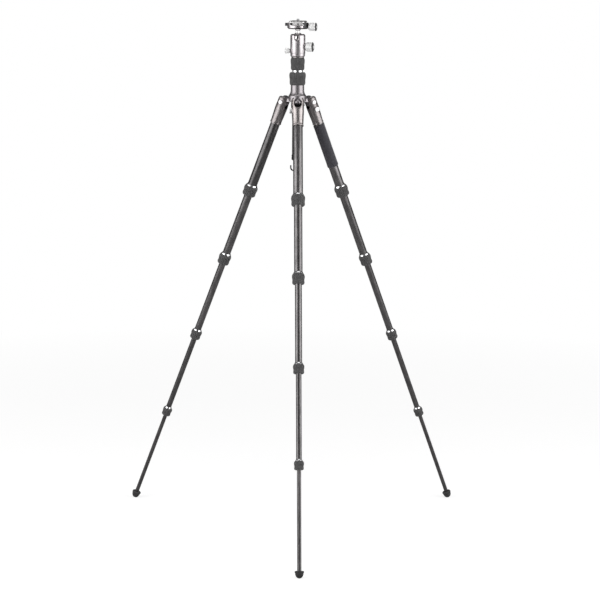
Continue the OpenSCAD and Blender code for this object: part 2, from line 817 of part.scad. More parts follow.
module pan_knob() {
    back = housing_r + boss_out + knob_gap;
    color("gainsboro") on_head(housing_z + pan_knob_up) rotate([0, 0, pan_knob_turn]) {
        knob(pan_knob_r, back, pan_knob_reach);
        rod_x(shank_r / 2, back - knob_gap - shank_deep + play, shank_deep + knob_gap);
    }
}

// Quick-release clamp: the dovetail runs along Y, the knob along +X

// Room for the plate between the jaws, widened by the clearance g
module dovetail_outline(g) {
    half = plate_w / 2;
    waist = half - flank_in;
    polygon([
        [-half - g, -g], [half + g, -g], [half + g, 0], [waist + g, flank_h], [waist + g, dovetail_h],
        [-waist - g, dovetail_h], [-waist - g, flank_h], [-half - g, 0]]);
}

module clamp_round() {
    cylinder(h = clamp_chamfer, r1 = clamp_r - clamp_chamfer, r2 = clamp_r);
    translate([0, 0, clamp_chamfer]) cylinder(h = clamp_h - clamp_chamfer, r = clamp_r);
}

module plate_room() {
    translate([0, 0, plate_z]) rotate([90, 0, 0]) linear_extrude(4 * clamp_r, center = true)
        dovetail_outline(waist_clear);
    translate([-plate_w / 2 + flank_in - waist_clear, -2 * clamp_r, plate_z + flank_h])
        cube([plate_w - 2 * flank_in + 2 * waist_clear, 4 * clamp_r, clamp_h]);
}

module jaw_side(x) {
    translate([x, -2 * clamp_r, -over]) cube([2 * clamp_r, 4 * clamp_r, clamp_h + 2 * over]);
}

module clamp_body() {
    color("#b4b0af") on_head(clamp_z) difference() {
        union() {
            clamp_round();
            translate([-level_in, level_side, clamp_h - level_lens - level_h - level_floor])
                cylinder(h = level_h + level_floor, r = level_r + over);
        }
        plate_room();
        jaw_side(jaw_split);
        translate([0, 0, clamp_floor - screw_head_h]) cylinder(h = clamp_h, r = screw_head_r + play);
        translate([-level_in, level_side, clamp_h - level_lens - level_h])
            cylinder(h = clamp_h, r = level_r + glue_gap);
        translate([0, 0, clamp_knob_up]) rod_x(shank_r / 2 + fit_gap, jaw_split - guide_pin_deep, clamp_r);
        for (s = [-1, 1]) translate([0, s * guide_pin_gap, clamp_floor / 2])
            rod_x(guide_pin_r + fit_gap, jaw_split - guide_pin_deep, clamp_r);
    }
}

module clamp_jaw() {
    color("#b4b0af") on_head(clamp_z) {
        difference() {
            intersection() {
                clamp_round();
                jaw_side(jaw_split + jaw_travel_gap);
            }
            plate_room();
            translate([0, 0, clamp_knob_up]) rod_x(shank_r / 2 + fit_gap, 0, 2 * clamp_r);
        }
        for (s = [-1, 1]) translate([0, s * guide_pin_gap, clamp_floor / 2])
            rod_x(guide_pin_r, jaw_split - guide_pin_deep + play, guide_pin_deep + 2 * jaw_travel_gap);
    }
}

module clamp_knob() {
    back = clamp_r + knob_gap;
    color("gainsboro") on_head(clamp_z + clamp_knob_up) {
        knob(clamp_knob_r, back, clamp_knob_reach);
        rod_x(shank_r / 2, jaw_split - guide_pin_deep + play, back - jaw_split + guide_pin_deep);
    }
}

module spirit_level() {
    color("#c9d97a") on_head(clamp_z) translate([-level_in, level_side, clamp_h - level_lens - level_h])
        cylinder(h = level_h + level_lens / 2, r = level_r, $fn = small_fn);
}

module rounded_square(w, l, r) {
    union() {
        square([w - 2 * r, l], center = true);
        square([w, l - 2 * r], center = true);
        for (x = [-1, 1], y = [-1, 1]) translate([x * (w / 2 - r), y * (l / 2 - r)]) circle(r);
    }
}

module camera_plate() {
    foot_l = plate_l - 2 * plate_round;
    color("#3a3a3c") on_head(clamp_z + plate_z) difference() {
        union() {
            intersection() {
                rotate([90, 0, 0]) linear_extrude(plate_l, center = true) dovetail_outline(0);
                linear_extrude(clamp_h) rounded_square(plate_w, plate_l, plate_round);
            }
            translate([0, 0, dovetail_h]) linear_extrude(plate_slab) rounded_square(plate_w, plate_l, plate_round);
        }
        down(over) cylinder(h = clamp_h + over, r = screw_neck_r + fit_gap);
        down(over) cylinder(h = dovetail_h / 2 + over, r = screw_head_r + play);
    }
}

module plate_pad() {
    w = plate_w - 2 * pad_inset;
    l = plate_l - 2 * pad_inset;
    color("#262628") on_head(clamp_z + plate_z + dovetail_h + plate_slab) difference() {
        linear_extrude(pad_h) rounded_square(w, l, plate_round - pad_inset);
        down(over) cylinder(h = pad_h + 2 * over, r = screw_r + play);
        for (i = [-1:2:1], j = [1:2]) translate([-w, i * j * pad_groove_gap * 2 + i * screw_r - pad_groove_w / 2,
            pad_h - pad_groove_deep]) cube([2 * w, pad_groove_w, 2 * pad_groove_deep]);
    }
}

module camera_screw() {
    pad_top = plate_z + dovetail_h + plate_slab + pad_h;
    head_z = plate_z + dovetail_h / 2 - screw_head_h;
    color("silver") on_head(clamp_z) {
        translate([0, 0, head_z]) cylinder(h = screw_head_h, r = screw_head_r);
        translate([0, 0, head_z]) cylinder(h = pad_top - head_z + over, r = screw_neck_r);
        translate([0, 0, pad_top + play]) cylinder(h = screw_out - play - screw_chamfer, r = screw_r);
        translate([0, 0, pad_top + screw_out - screw_chamfer])
            cylinder(h = screw_chamfer, r1 = screw_r, r2 = screw_r - screw_chamfer);
    }
}

for (k = [0:2]) {
    on_leg(k) top_casting();
    on_leg(k) angle_tab();
    for (i = sections) {
        on_leg(k) leg_tube(i);
    }
    for (i = locks) {
        on_leg(k) leg_lock(i);
    }
    on_leg(k) foot();
}
on_leg(2) grip_sleeve();
pivot_bolts();
shoulder();
column_bush();
lower_column_lock();
outer_column();
upper_column_lock();
inner_column();
column_end_cap();
bag_hook();
head_platform();
head_stud();
pan_base();
head_housing();
ball_stem();
main_knob();
pan_knob();
clamp_body();
clamp_jaw();
clamp_knob();
spirit_level();
camera_plate();
plate_pad();
camera_screw();
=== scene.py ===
import json
import math

import bmesh
import bpy
from mathutils import Matrix, Vector


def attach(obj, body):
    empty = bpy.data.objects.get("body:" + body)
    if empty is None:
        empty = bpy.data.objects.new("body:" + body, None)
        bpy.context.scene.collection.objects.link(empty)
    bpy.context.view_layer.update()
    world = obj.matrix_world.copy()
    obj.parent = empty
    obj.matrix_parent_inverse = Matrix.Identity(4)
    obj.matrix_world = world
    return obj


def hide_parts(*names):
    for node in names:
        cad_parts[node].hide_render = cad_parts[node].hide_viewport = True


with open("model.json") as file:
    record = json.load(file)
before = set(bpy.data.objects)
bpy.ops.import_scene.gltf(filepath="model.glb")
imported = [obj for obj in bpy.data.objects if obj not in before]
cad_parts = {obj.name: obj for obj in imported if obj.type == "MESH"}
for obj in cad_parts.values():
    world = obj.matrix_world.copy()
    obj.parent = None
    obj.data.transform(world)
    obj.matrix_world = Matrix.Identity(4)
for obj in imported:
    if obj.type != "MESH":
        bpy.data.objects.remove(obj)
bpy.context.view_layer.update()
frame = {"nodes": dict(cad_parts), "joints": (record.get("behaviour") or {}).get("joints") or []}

scene = bpy.context.scene
joints = {j["name"]: j for j in frame["joints"]}
mm = 0.001
print("frame loaded:", len(frame["nodes"]), "nodes")


# ---- shader helpers

def addNode(tree, kind, settings=None, inputs=None):  # settings first, then the sockets' values or links
    node = tree.nodes.new("ShaderNode" + kind)
    for key, value in (settings or {}).items():
        setattr(node, key, value)
    for key, value in (inputs or {}).items():
        if isinstance(value, Wire):
            tree.links.new(value.socket, node.inputs[key])
        else:
            node.inputs[key].default_value = value
    return node


class Wire:  # a socket that takes part in sums
    def __init__(self, tree, socket):
        self.tree, self.socket = tree, socket

    def math(self, operation, *values):
        node = addNode(self.tree, "Math", {"operation": operation}, dict(enumerate(values)))
        return Wire(self.tree, node.outputs[0])

    def __add__(self, other): return self.math("ADD", self, other)
    def __radd__(self, other): return self.math("ADD", other, self)
    def __sub__(self, other): return self.math("SUBTRACT", self, other)
    def __rsub__(self, other): return self.math("SUBTRACT", other, self)
    def __mul__(self, other): return self.math("MULTIPLY", self, other)
    def __rmul__(self, other): return self.math("MULTIPLY", other, self)
    def __truediv__(self, other): return self.math("DIVIDE", self, other)
    def __rtruediv__(self, other): return self.math("DIVIDE", other, self)
    def __pow__(self, other): return self.math("POWER", self, other)
    def __rpow__(self, other): return self.math("POWER", other, self)
    def sine(self): return self.math("SINE", self)
    def angleTo(self, other): return self.math("ARCTAN2", self, other)
    def most(self, other): return self.math("MAXIMUM", self, other)
    def least(self, other): return self.math("MINIMUM", self, other)
    def clamped(self): return self.most(0.0).least(1.0)


class Finish:  # one material or the world, with short ways to add nodes
    def __init__(self, name, owner=None):
        self.owner = owner or bpy.data.materials.new(name)
        self.owner.use_nodes = True
        self.tree = self.owner.node_tree
        self.tree.nodes.clear()

    def add(self, kind, settings=None, inputs=None):
        return addNode(self.tree, kind, settings, inputs)

    def out(self, node, key=0):
        return Wire(self.tree, node.outputs[key])

    def place(self):  # the piece's own coordinates, in metres
        return self.out(self.add("TexCoord"), "Object")

    def split(self, vector):
        node = self.add("SeparateXYZ", inputs={0: vector})
        return [self.out(node, k) for k in range(3)]

    def join(self, x, y, z):
        return self.out(self.add("CombineXYZ", inputs={0: x, 1: y, 2: z}))

    def noise(self, vector, scale, detail=3.0):
        inputs = {"Vector": vector, "Scale": scale, "Detail": detail, "Roughness": 0.55}
        return self.out(self.add("TexNoise", inputs=inputs), "Fac")

    def mix(self, factor, a, b):  # two colours
        return self.out(self.add("Mix", {"data_type": "RGBA"}, {0: factor, 6: (*a, 1), 7: (*b, 1)}), 2)

    def tint(self, factor, tone, look):  # a tone from a darker to a paler shade of it
        return self.mix(factor, [t * look["dark"] for t in tone], [min(1.0, t * look["pale"]) for t in tone])

    def bump(self, height, look):
        inputs = {"Height": height, "Distance": look["depth"], "Strength": look["strength"]}
        return self.out(self.add("Bump", inputs=inputs))

    def blend(self, factor, a, b):  # two shaders
        return self.add("MixShader", inputs={0: factor, 1: self.out(a), 2: self.out(b)})

    def close(self, kind, shader):  # kind is Material or World
        self.add("Output" + kind, inputs={0: self.out(shader)})
        return self.owner

    def surface(self, **sockets):
        names = {"colour": "Base Color", "rough": "Roughness", "metal": "Metallic", "normal": "Normal",
                 "coat": "Coat Weight", "coatRough": "Coat Roughness", "sheen": "Sheen Weight"}
        node = self.add("BsdfPrincipled", inputs={names[key]: value for key, value in sockets.items()})
        return self.close("Material", node)


# ---- finishes

def carbonTube(name, tone):
    look = {"weave": 0.0021, "turns": 30, "twill": 0.6, "haze": 22.0, "streakAcross": 160.0, "streakAlong": 50.0,
            "streakFrom": 0.36, "streakGain": 3.2, "clothShare": 0.3, "hazeShare": 0.2, "streakShare": 0.5,
            "dark": (0.52, 0.5, 0.505), "pale": (1.48, 1.41, 1.43), "metal": 0.85, "rough": 0.27, "hazeRough": 0.1,
            "clothRough": 0.05, "depth": 0.00002, "strength": 0.6, "coat": 0.35, "coatRough": 0.12}
    f = Finish(name)
    place = f.place()
    x, y, z = f.split(place)
    across = y.angleTo(x) * (look["turns"] / (2 * math.pi))
    along = z / look["weave"]
    twill = ((across + along) * math.pi).sine() * 0.5 + 0.5
    other = ((across - along) * math.pi).sine() * 0.5 + 0.5
    cloth = twill * look["twill"] + other * (1 - look["twill"])
    haze = f.noise(place, look["haze"], 2.0)
    grain = f.join(x * look["streakAcross"], y * look["streakAcross"], z * look["streakAlong"])
    streak = ((f.noise(grain, 1.0) - look["streakFrom"]) * look["streakGain"]).clamped()
    shade = cloth * look["clothShare"] + haze * look["hazeShare"] + streak * look["streakShare"]
    rough = haze * look["hazeRough"] + cloth * look["clothRough"] + look["rough"]
    dark, pale = ([tone * t for t in look[key]] for key in ("dark", "pale"))
    return f.surface(colour=f.mix(shade, dark, pale), metal=look["metal"], rough=rough, normal=f.bump(cloth, look),
                     coat=look["coat"], coatRough=look["coatRough"])


def gripRubber(name, tone):
    look = {"grain": 2400.0, "dust": 160.0, "dustShare": 0.8, "dark": 0.8, "pale": 1.5, "rough": 0.62,
            "spread": 0.16, "depth": 0.00006, "strength": 0.5, "sheen": 0.25}
    f = Finish(name)
    place = f.place()
    grain = f.noise(place, look["grain"], 2.0)
    dust = f.noise(place, look["dust"], 4.0)
    return f.surface(colour=f.tint(dust * look["dustShare"], tone, look), rough=look["rough"] + dust * look["spread"],
                     normal=f.bump(grain, look), sheen=look["sheen"])


def foam(name, dark, pale):
    look = {"cells": 900.0, "broad": 60.0, "cellShare": 0.8, "broadShare": 0.3, "rough": 0.86, "dents": 0.4,
            "depth": 0.0003, "strength": 0.7, "sheen": 0.4}
    f = Finish(name)
    place = f.place()
    cells = f.out(f.add("TexVoronoi", {"feature": "F1"}, {"Vector": place, "Scale": look["cells"]}), "Distance")
    broad = f.noise(place, look["broad"])
    colour = f.mix(cells * look["cellShare"] + broad * look["broadShare"], dark, pale)
    return f.surface(colour=colour, rough=look["rough"], normal=f.bump(cells + broad * look["dents"], look),
                     sheen=look["sheen"])


def cast(name, tone, rough):  # bead-blasted and anodised
    look = {"beads": 3200.0, "drift": 46.0, "dark": 0.86, "pale": 1.12, "smoother": 0.05, "spread": 0.12,
            "depth": 0.00002, "strength": 0.5}
    f = Finish(name)
    place = f.place()
    beads = f.noise(place, look["beads"], 2.0)
    drift = f.noise(place, look["drift"])
    return f.surface(colour=f.tint(drift, tone, look), metal=1.0,
                     rough=rough - look["smoother"] + drift * look["spread"], normal=f.bump(beads, look))


def turnedMetal(name, tone, rough, metal=1.0):  # fine rings left by the lathe
    look = {"pitch": 0.00035, "across": 30.0, "along": 900.0, "dark": 0.9, "pale": 1.06, "spread": 0.12,
            "depth": 0.000006, "strength": 0.5}
    f = Finish(name)
    x, y, z = f.split(f.place())
    rings = (z * (2 * math.pi / look["pitch"])).sine() * 0.5 + 0.5
    drift = f.noise(f.join(x * look["across"], y * look["across"], z * look["along"]), 1.0)
    return f.surface(colour=f.tint(drift, tone, look), metal=metal, rough=rough + drift * look["spread"],
                     normal=f.bump(rings + drift, look))


def plastic(name, tone, rough):
    look = {"skin": 1400.0, "wear": 70.0, "dark": 0.85, "pale": 1.18, "spread": 0.12, "depth": 0.00003,
            "strength": 0.4}
    f = Finish(name)
    place = f.place()
    skin = f.noise(place, look["skin"])
    wear = f.noise(place, look["wear"])
    return f.surface(colour=f.tint(wear, tone, look), rough=rough + wear * look["spread"], normal=f.bump(skin, look))


def vial(name, dark, pale):
    look = {"drift": 300.0, "rough": 0.06, "spread": 0.04, "coat": 1.0}
    f = Finish(name)
    drift = f.noise(f.place(), look["drift"], 2.0)
    return f.surface(colour=f.mix(drift, dark, pale), rough=look["rough"] + drift * look["spread"], coat=look["coat"])


looks = {
    "carbon": carbonTube("carbonTube", 0.165),
    # two darker copies of the carbon finish: painted shade for tubes that lie in shade
    "carbonShaded": carbonTube("carbonShaded", 0.135),
    "carbonShadedDeep": carbonTube("carbonShadedDeep", 0.1),
    "rubber": gripRubber("gripRubber", (0.056, 0.055, 0.056)),
    "foam": foam("gripFoam", (0.017, 0.0165, 0.021), (0.056, 0.054, 0.067)),
    "foot": gripRubber("footRubber", (0.017, 0.0165, 0.017)),
    "pad": gripRubber("padRubber", (0.03, 0.03, 0.031)),
    "casting": cast("castGrey", (0.3, 0.278, 0.278), 0.38),
    # a paler copy of the casting finish: painted light
    "castingLit": cast("castLit", (0.43, 0.395, 0.388), 0.36),
    "shoulder": cast("castDark", (0.345, 0.324, 0.336), 0.42),
    "head": cast("castWarm", (0.55, 0.518, 0.532), 0.36),
    "knob": turnedMetal("knobSilver", (0.96, 0.96, 0.955), 0.36, metal=0.15),
    "tab": cast("tabSilver", (0.88, 0.87, 0.87), 0.45),
    "ring": turnedMetal("ringSilver", (0.78, 0.78, 0.79), 0.2),
    "steel": turnedMetal("boltSteel", (0.62, 0.62, 0.63), 0.2),
    "polish": turnedMetal("ballPolish", (0.8, 0.79, 0.79), 0.1),
    "black": cast("anodisedBlack", (0.05, 0.05, 0.052), 0.36),
    "nylon": plastic("bushNylon", (0.62, 0.6, 0.53), 0.45),
    # near-black painted shade for the faces that the shade tests pick
    "paintedShade": cast("paintedShadeBlack", (0.045, 0.044, 0.046), 0.5),
    "pit": cast("stopBlack", (0.01, 0.01, 0.011), 0.5),
    "plate": cast("plateSilver", (0.66, 0.65, 0.65), 0.46),
    "hook": plastic("hookPaint", (0.03, 0.03, 0.032), 0.32),
    "vial": vial("levelLiquid", (0.46, 0.62, 0.08), (0.62, 0.78, 0.16)),
}
print("finishes:", len(looks))


# ---- places, all read from the joints

legNames = ("left", "front", "right")
legTurns = {"left": 150, "front": -90, "right": 30}
legLean = -joints["front_leg_swing"]["range_deg"][0]
columnX, columnY, hingeZ = joints["head_pan"]["pos_m"]
headTurn = math.degrees(math.atan2(joints["ball_tilt"]["axis"][1], joints["ball_tilt"]["axis"][0]))


def turnAbout(axis, degrees):
    return Matrix.Rotation(math.radians(degrees), 4, axis)


def shifted(x, y, z):  # millimetres
    return Matrix.Translation((x * mm, y * mm, z * mm))


def armFrame(leg):  # hinge at the origin, the shoulder's arm along +X
    return Matrix.Translation(joints[leg + "_leg_swing"]["pos_m"]) @ turnAbout("Z", legTurns[leg])


def legFrame(leg):  # hinge at the origin, the leg down -Z, +X away from the column
    return armFrame(leg) @ turnAbout("Y", -legLean)


def onAxis(z):
    return Matrix.Translation((columnX, columnY, z))


def onHead(z):
    return onAxis(z) @ turnAbout("Z", headTurn)


lieAlongX = turnAbout("Y", 90)  # a lathe piece's Z becomes +X
lieAlongY = turnAbout("X", -90)  # and here +Y


# ---- stage

behindFrom, behindGain = 0.975, 60.0  # the white part of the room, straight behind the object
aimHeight = 0.62  # the middle of the tripod


def aimCamera():
    shot = {"away": 4.9122, "up": 1.3972, "turn": -1.58, "pitch": 9.994, "yaw": 0.113, "roll": 0.466,
            "focalPixels": 2154.15, "picturePixels": 600, "sensor": 36, "clip": 200}
    pitch, yaw, roll = (math.radians(shot[k]) for k in ("pitch", "yaw", "roll"))
    ahead = Vector((math.sin(yaw) * math.cos(pitch), math.cos(yaw) * math.cos(pitch), -math.sin(pitch)))
    side = Vector((math.cos(yaw), -math.sin(yaw), 0))
    above = side.cross(ahead)
    right = side * math.cos(roll) + above * math.sin(roll)
    up = above * math.cos(roll) - side * math.sin(roll)
    pose = Matrix((right, up, -ahead)).transposed().to_4x4()
    pose.translation = Vector((0, -shot["away"], shot["up"]))
    camera = bpy.data.objects.new("camera", bpy.data.cameras.new("camera"))
    scene.collection.objects.link(camera)
    camera.matrix_world = Matrix.Translation((0, columnY, 0)) @ turnAbout("Z", shot["turn"]) @ pose
    camera.data.sensor_width = shot["sensor"]
    camera.data.lens = shot["focalPixels"] / shot["picturePixels"] * shot["sensor"]
    camera.data.clip_end = shot["clip"]
    scene.camera = camera


def softbox(name, box, side=1):
    lamp = bpy.data.lights.new(name, "AREA")
    lamp.shape, lamp.size, lamp.size_y, lamp.energy = "RECTANGLE", box["wide"], box["tall"], box["power"]
    holder = bpy.data.objects.new(name, lamp)
    scene.collection.objects.link(holder)
    a = math.radians(side * box["angle"])
    spot = Vector((math.sin(a) * box["away"], -math.cos(a) * box["away"] + columnY, box["height"]))
    aim = Vector((0, columnY, aimHeight)) - spot
    holder.location = spot
    holder.rotation_euler = aim.to_track_quat("-Z", "Y").to_euler()


def lightStage():
    fill = 0.07
    high = {"angle": 64, "away": 2.7, "height": 1.35, "wide": 3.2, "tall": 2.7, "power": 74.0}
    low = {"angle": 58, "away": 1.9, "height": 0.3, "wide": 1.6, "tall": 0.56, "power": 3.5}
    top = {"angle": 0, "away": 0.5, "height": 3.4, "wide": 2.4, "tall": 1.4, "power": 15.0}
    for name, side in (("softboxLeft", -1), ("softboxRight", 1)):
        softbox(name, high, side)
        softbox(name + "Low", low, side)
    softbox("softboxTop", top)
    world = bpy.data.worlds.new("studio")
    scene.world = world
    f = Finish("studio", world)
    ray = f.add("LightPath")
    way = f.split(f.out(f.add("TexCoord"), "Generated"))[1]
    behind = ((way - behindFrom) * behindGain).clamped()
    seen = f.out(ray, "Is Camera Ray").most(f.out(ray, "Is Transmission Ray"))
    clear = seen.most(f.out(ray, "Is Glossy Ray") * behind)
    dim = f.add("Background", inputs={"Color": (1, 1, 1, 1), "Strength": fill})
    white = f.add("Background", inputs={"Color": (1, 1, 1, 1), "Strength": 1.0})
    f.close("World", f.blend(clear, dim, white))


def makeFloor():  # matt near the feet, where the shadow falls, and pure white further out
    plan = {"radius": 60.0, "near": 1.0, "far": 2.6, "tone": 0.34, "drift": 0.02, "lift": 0.79, "mirrored": 0.06}
    mesh = bpy.data.meshes.new("floor")
    bm = bmesh.new()
    bmesh.ops.create_circle(bm, cap_ends=True, radius=plan["radius"], segments=96)
    bm.to_mesh(mesh)
    bm.free()
    floor = bpy.data.objects.new("floor", mesh)
    scene.collection.objects.link(floor)
    f = Finish("floorWhite")
    place = f.place()
    x, y, _ = f.split(place)
    reach = (x * x + y * y) ** 0.5
    far = ((reach - plan["near"]) / (plan["far"] - plan["near"])).clamped()
    behind = ((y / reach - behindFrom) * behindGain).clamped()
    ray = f.add("LightPath")
    seen = f.out(ray, "Is Camera Ray").most(f.out(ray, "Is Transmission Ray"))
    mirrored = f.out(ray, "Is Glossy Ray")
    base = f.mix(f.noise(place, 3.0), (plan["tone"],) * 3, (plan["tone"] + plan["drift"],) * 3)
    lift = f.mix(seen.most(mirrored * (1.0 - far) * plan["mirrored"]), (0, 0, 0), (plan["lift"],) * 3)
    matt = f.add("BsdfPrincipled", inputs={"Base Color": base, "Roughness": 1.0, "Specular IOR Level": 0.0,
                                           "Emission Color": lift, "Emission Strength": 1.0})
    glow = f.add("Emission", inputs={"Color": (1, 1, 1, 1), "Strength": 1.0})
    clear = far * seen.most(mirrored * behind)
    floor.data.materials.append(f.close("Material", f.blend(clear, matt, glow)))


# ---- mesh helpers, sizes in millimetres

tiny = 1e-6


def finishMesh(name, bm, place, mats, sharp=32):
    bmesh.ops.recalc_face_normals(bm, faces=bm.faces)
    for face in bm.faces:
        face.smooth = True
    for edge in bm.edges:
        edge.smooth = not (len(edge.link_faces) == 2 and edge.calc_face_angle(0) > math.radians(sharp))
    mesh = bpy.data.meshes.new(name)
    bm.to_mesh(mesh)
    bm.free()
    piece = bpy.data.objects.new(name, mesh)
    scene.collection.objects.link(piece)
    for m in mats:
        mesh.materials.append(looks[m])
    piece.matrix_world = place
    return piece


def settle(piece, body, node=None):
    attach(piece, body)
    if node:
        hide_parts(node)


def soften(points, radius, closed, steps=3):  # rounds the corners of an outline of (r, z, material)
    straight = math.radians(168)
    result = []
    count = len(points)
    for k, point in enumerate(points):
        if not closed and k in (0, count - 1):
            result.append(point)
            continue
        before, here, after = (Vector(points[j % count][:2]) for j in (k - 1, k, k + 1))
        a, b = before - here, after - here
        if a.length < tiny or b.length < tiny or a.angle(b) > straight:
            result.append(point)
            continue
        cut = min(radius, a.length * 0.45, b.length * 0.45)
        start, stop = here + a.normalized() * cut, here + b.normalized() * cut
        for n in range(steps + 1):
            t = n / steps
            q = start * (1 - t) ** 2 + here * 2 * t * (1 - t) + stop * t ** 2
            result.append((q.x, q.y, points[k - 1][2] if n < steps else point[2]))
    return result


def lathe(bm, outline, steps=72, wave=None, closed=True, about=None):  # outline: (r, z, material from here on)
    rings = []
    for r, z, _ in outline:
        if r < tiny:
            rings.append([bm.verts.new((0, 0, z * mm))])
            continue
        ring = []
        for k in range(steps):
            a = 2 * math.pi * k / steps
            rr, zz = wave(r, z, a) if wave else (r, z)
            ring.append(bm.verts.new((rr * math.cos(a) * mm, rr * math.sin(a) * mm, zz * mm)))
        rings.append(ring)
    spans = list(zip(range(len(rings)), range(1, len(rings))))
    if closed:
        spans.append((len(rings) - 1, 0))
    made = []
    for i, j in spans:
        a, b = rings[i], rings[j]
        if len(a) == 1 and len(b) == 1:
            continue
        for k in range(steps):
            n = (k + 1) % steps
            if len(a) == 1:
                made.append(bm.faces.new((a[0], b[n], b[k])))
            elif len(b) == 1:
                made.append(bm.faces.new((a[k], a[n], b[0])))
            else:
                made.append(bm.faces.new((a[k], a[n], b[n], b[k])))
            made[-1].material_index = outline[i][2]
    if about:
        bmesh.ops.transform(bm, matrix=about, verts=list({v for f in made for v in f.verts}))


def turnedPiece(name, outline, place, mats, body, node, steps=72, wave=None, round=0.35, closed=True, sharp=32):
    bm = bmesh.new()
    lathe(bm, soften(outline, round, closed) if round else outline, steps, wave, closed)
    settle(finishMesh(name, bm, place, mats, sharp), body, node)


def softCopy(name, node, look, body, width, shade=None):  # the solid with its edges rounded
    plan = {"weld": 0.00002, "flat": 0.6, "edge": 38, "short": 0.0001, "steps": 2, "sharp": 30}
    bm = bmesh.new()
    bm.from_mesh(frame["nodes"][node].data)
    bmesh.ops.remove_doubles(bm, verts=bm.verts, dist=plan["weld"])
    bmesh.ops.dissolve_limit(bm, angle_limit=math.radians(plan["flat"]), verts=bm.verts, edges=bm.edges)
    edges = [e for e in bm.edges if len(e.link_faces) == 2 and e.calc_face_angle(0) > math.radians(plan["edge"])
             and e.calc_length() > plan["short"]]
    bmesh.ops.bevel(bm, geom=edges, offset=width * mm, offset_type="OFFSET", segments=plan["steps"], profile=0.6,
                    affect="EDGES", clamp_overlap=True, miter_outer="SHARP")
    if shade:  # a test that picks the faces that get painted shade: deep recesses and shaded undersides
        bm.normal_update()
        for face in bm.faces:
            face.material_index = int(shade(face.calc_center_median() / mm, face.normal))
    mats = [look, "paintedShade"] if shade else [look]
    settle(finishMesh(name, bm, Matrix.Identity(4), mats, plan["sharp"]), body, node)


def boxMesh(bm, low, high, bevel):  # a box with soft edges, from corner to corner
    made = bmesh.ops.create_cube(bm, size=1.0)["verts"]
    size = [(high[k] - low[k]) * mm for k in range(3)]
    middle = [(high[k] + low[k]) / 2 * mm for k in range(3)]
    bmesh.ops.transform(bm, matrix=Matrix.Translation(middle) @ Matrix.Diagonal((*size, 1)), verts=made)
    edges = list({e for v in made for e in v.link_edges})
    bmesh.ops.bevel(bm, geom=edges, offset=bevel * mm, segments=2, profile=0.6, affect="EDGES")


def bridge(bm, rings):  # quads between rings of equal length, and a cap on each end
    for a, b in zip(rings, rings[1:]):
        for n in range(len(a)):
            bm.faces.new((a[n], a[(n + 1) % len(a)], b[(n + 1) % len(b)], b[n]))
    bm.faces.new(rings[0])
    bm.faces.new(rings[-1])


# ---- legs

legPlan = {"tubeD": 22.0, "wall": 1.2, "gap": 0.4, "turnGap": 0.1, "guide": 22.0, "socketTop": 30.0,
           "castingDrop": 53.0, "exposed": [158.0, 152.0, 177.0, 190.0, 219.0], "lockLen": [28.0, 28.0, 25.0, 23.0],
           "bulge": 5.0, "lip": 3.2, "taper": 2.6, "collet": 7.0, "ringH": 3.6, "play": 0.3, "footDrop": 8.0,
           "footBall": 8.5, "footR": 10.3, "glue": 0.02, "slide": 0.08}
# which carbon each section gets; the two darker copies are painted shade, chosen per leg and section
tubeLooks = {"left": ("carbonShadedDeep", "carbon", "carbon", "carbonShaded", "carbonShaded"),
             "front": ("carbon", "carbonShaded", "carbonShaded", "carbonShadedDeep", "carbonShadedDeep"),
             "right": ("carbon", "carbon", "carbon", "carbonShaded", "carbonShaded")}
# the front casting takes the paler copy of the casting finish: painted light
castingLooks = {"left": "casting", "front": "castingLit", "right": "casting"}
gripShares = [(0.18, 0.66), (0.25, 0.86), (0.33, 0.98), (0.41, 1.0), (0.5, 0.94), (0.6, 0.82), (0.7, 0.79),
              (0.8, 0.86), (0.89, 0.88), (0.96, 0.76), (1.0, 0.56)]
lockTops = [legPlan["castingDrop"] + sum(legPlan["exposed"][:k + 1]) + sum(legPlan["lockLen"][:k]) for k in range(4)]
footTop = legPlan["castingDrop"] + sum(legPlan["exposed"]) + sum(legPlan["lockLen"])


def tubeRadius(k):
    return legPlan["tubeD"] / 2 - (k - 1) * (legPlan["wall"] + legPlan["gap"])


def colletEnd(k):  # how far below the hinge tube k ends, inside its own lock
    p = legPlan
    return lockTops[k - 1] + (p["lockLen"][k - 1] - p["lip"] - p["play"] - p["collet"]) - p["play"]


def tubeSpan(k):
    top = legPlan["socketTop"] if k == 1 else colletEnd(k - 1) - legPlan["guide"]
    end = footTop + legPlan["footDrop"] + legPlan["footBall"] / 2 if k == 5 else colletEnd(k)
    return top, end


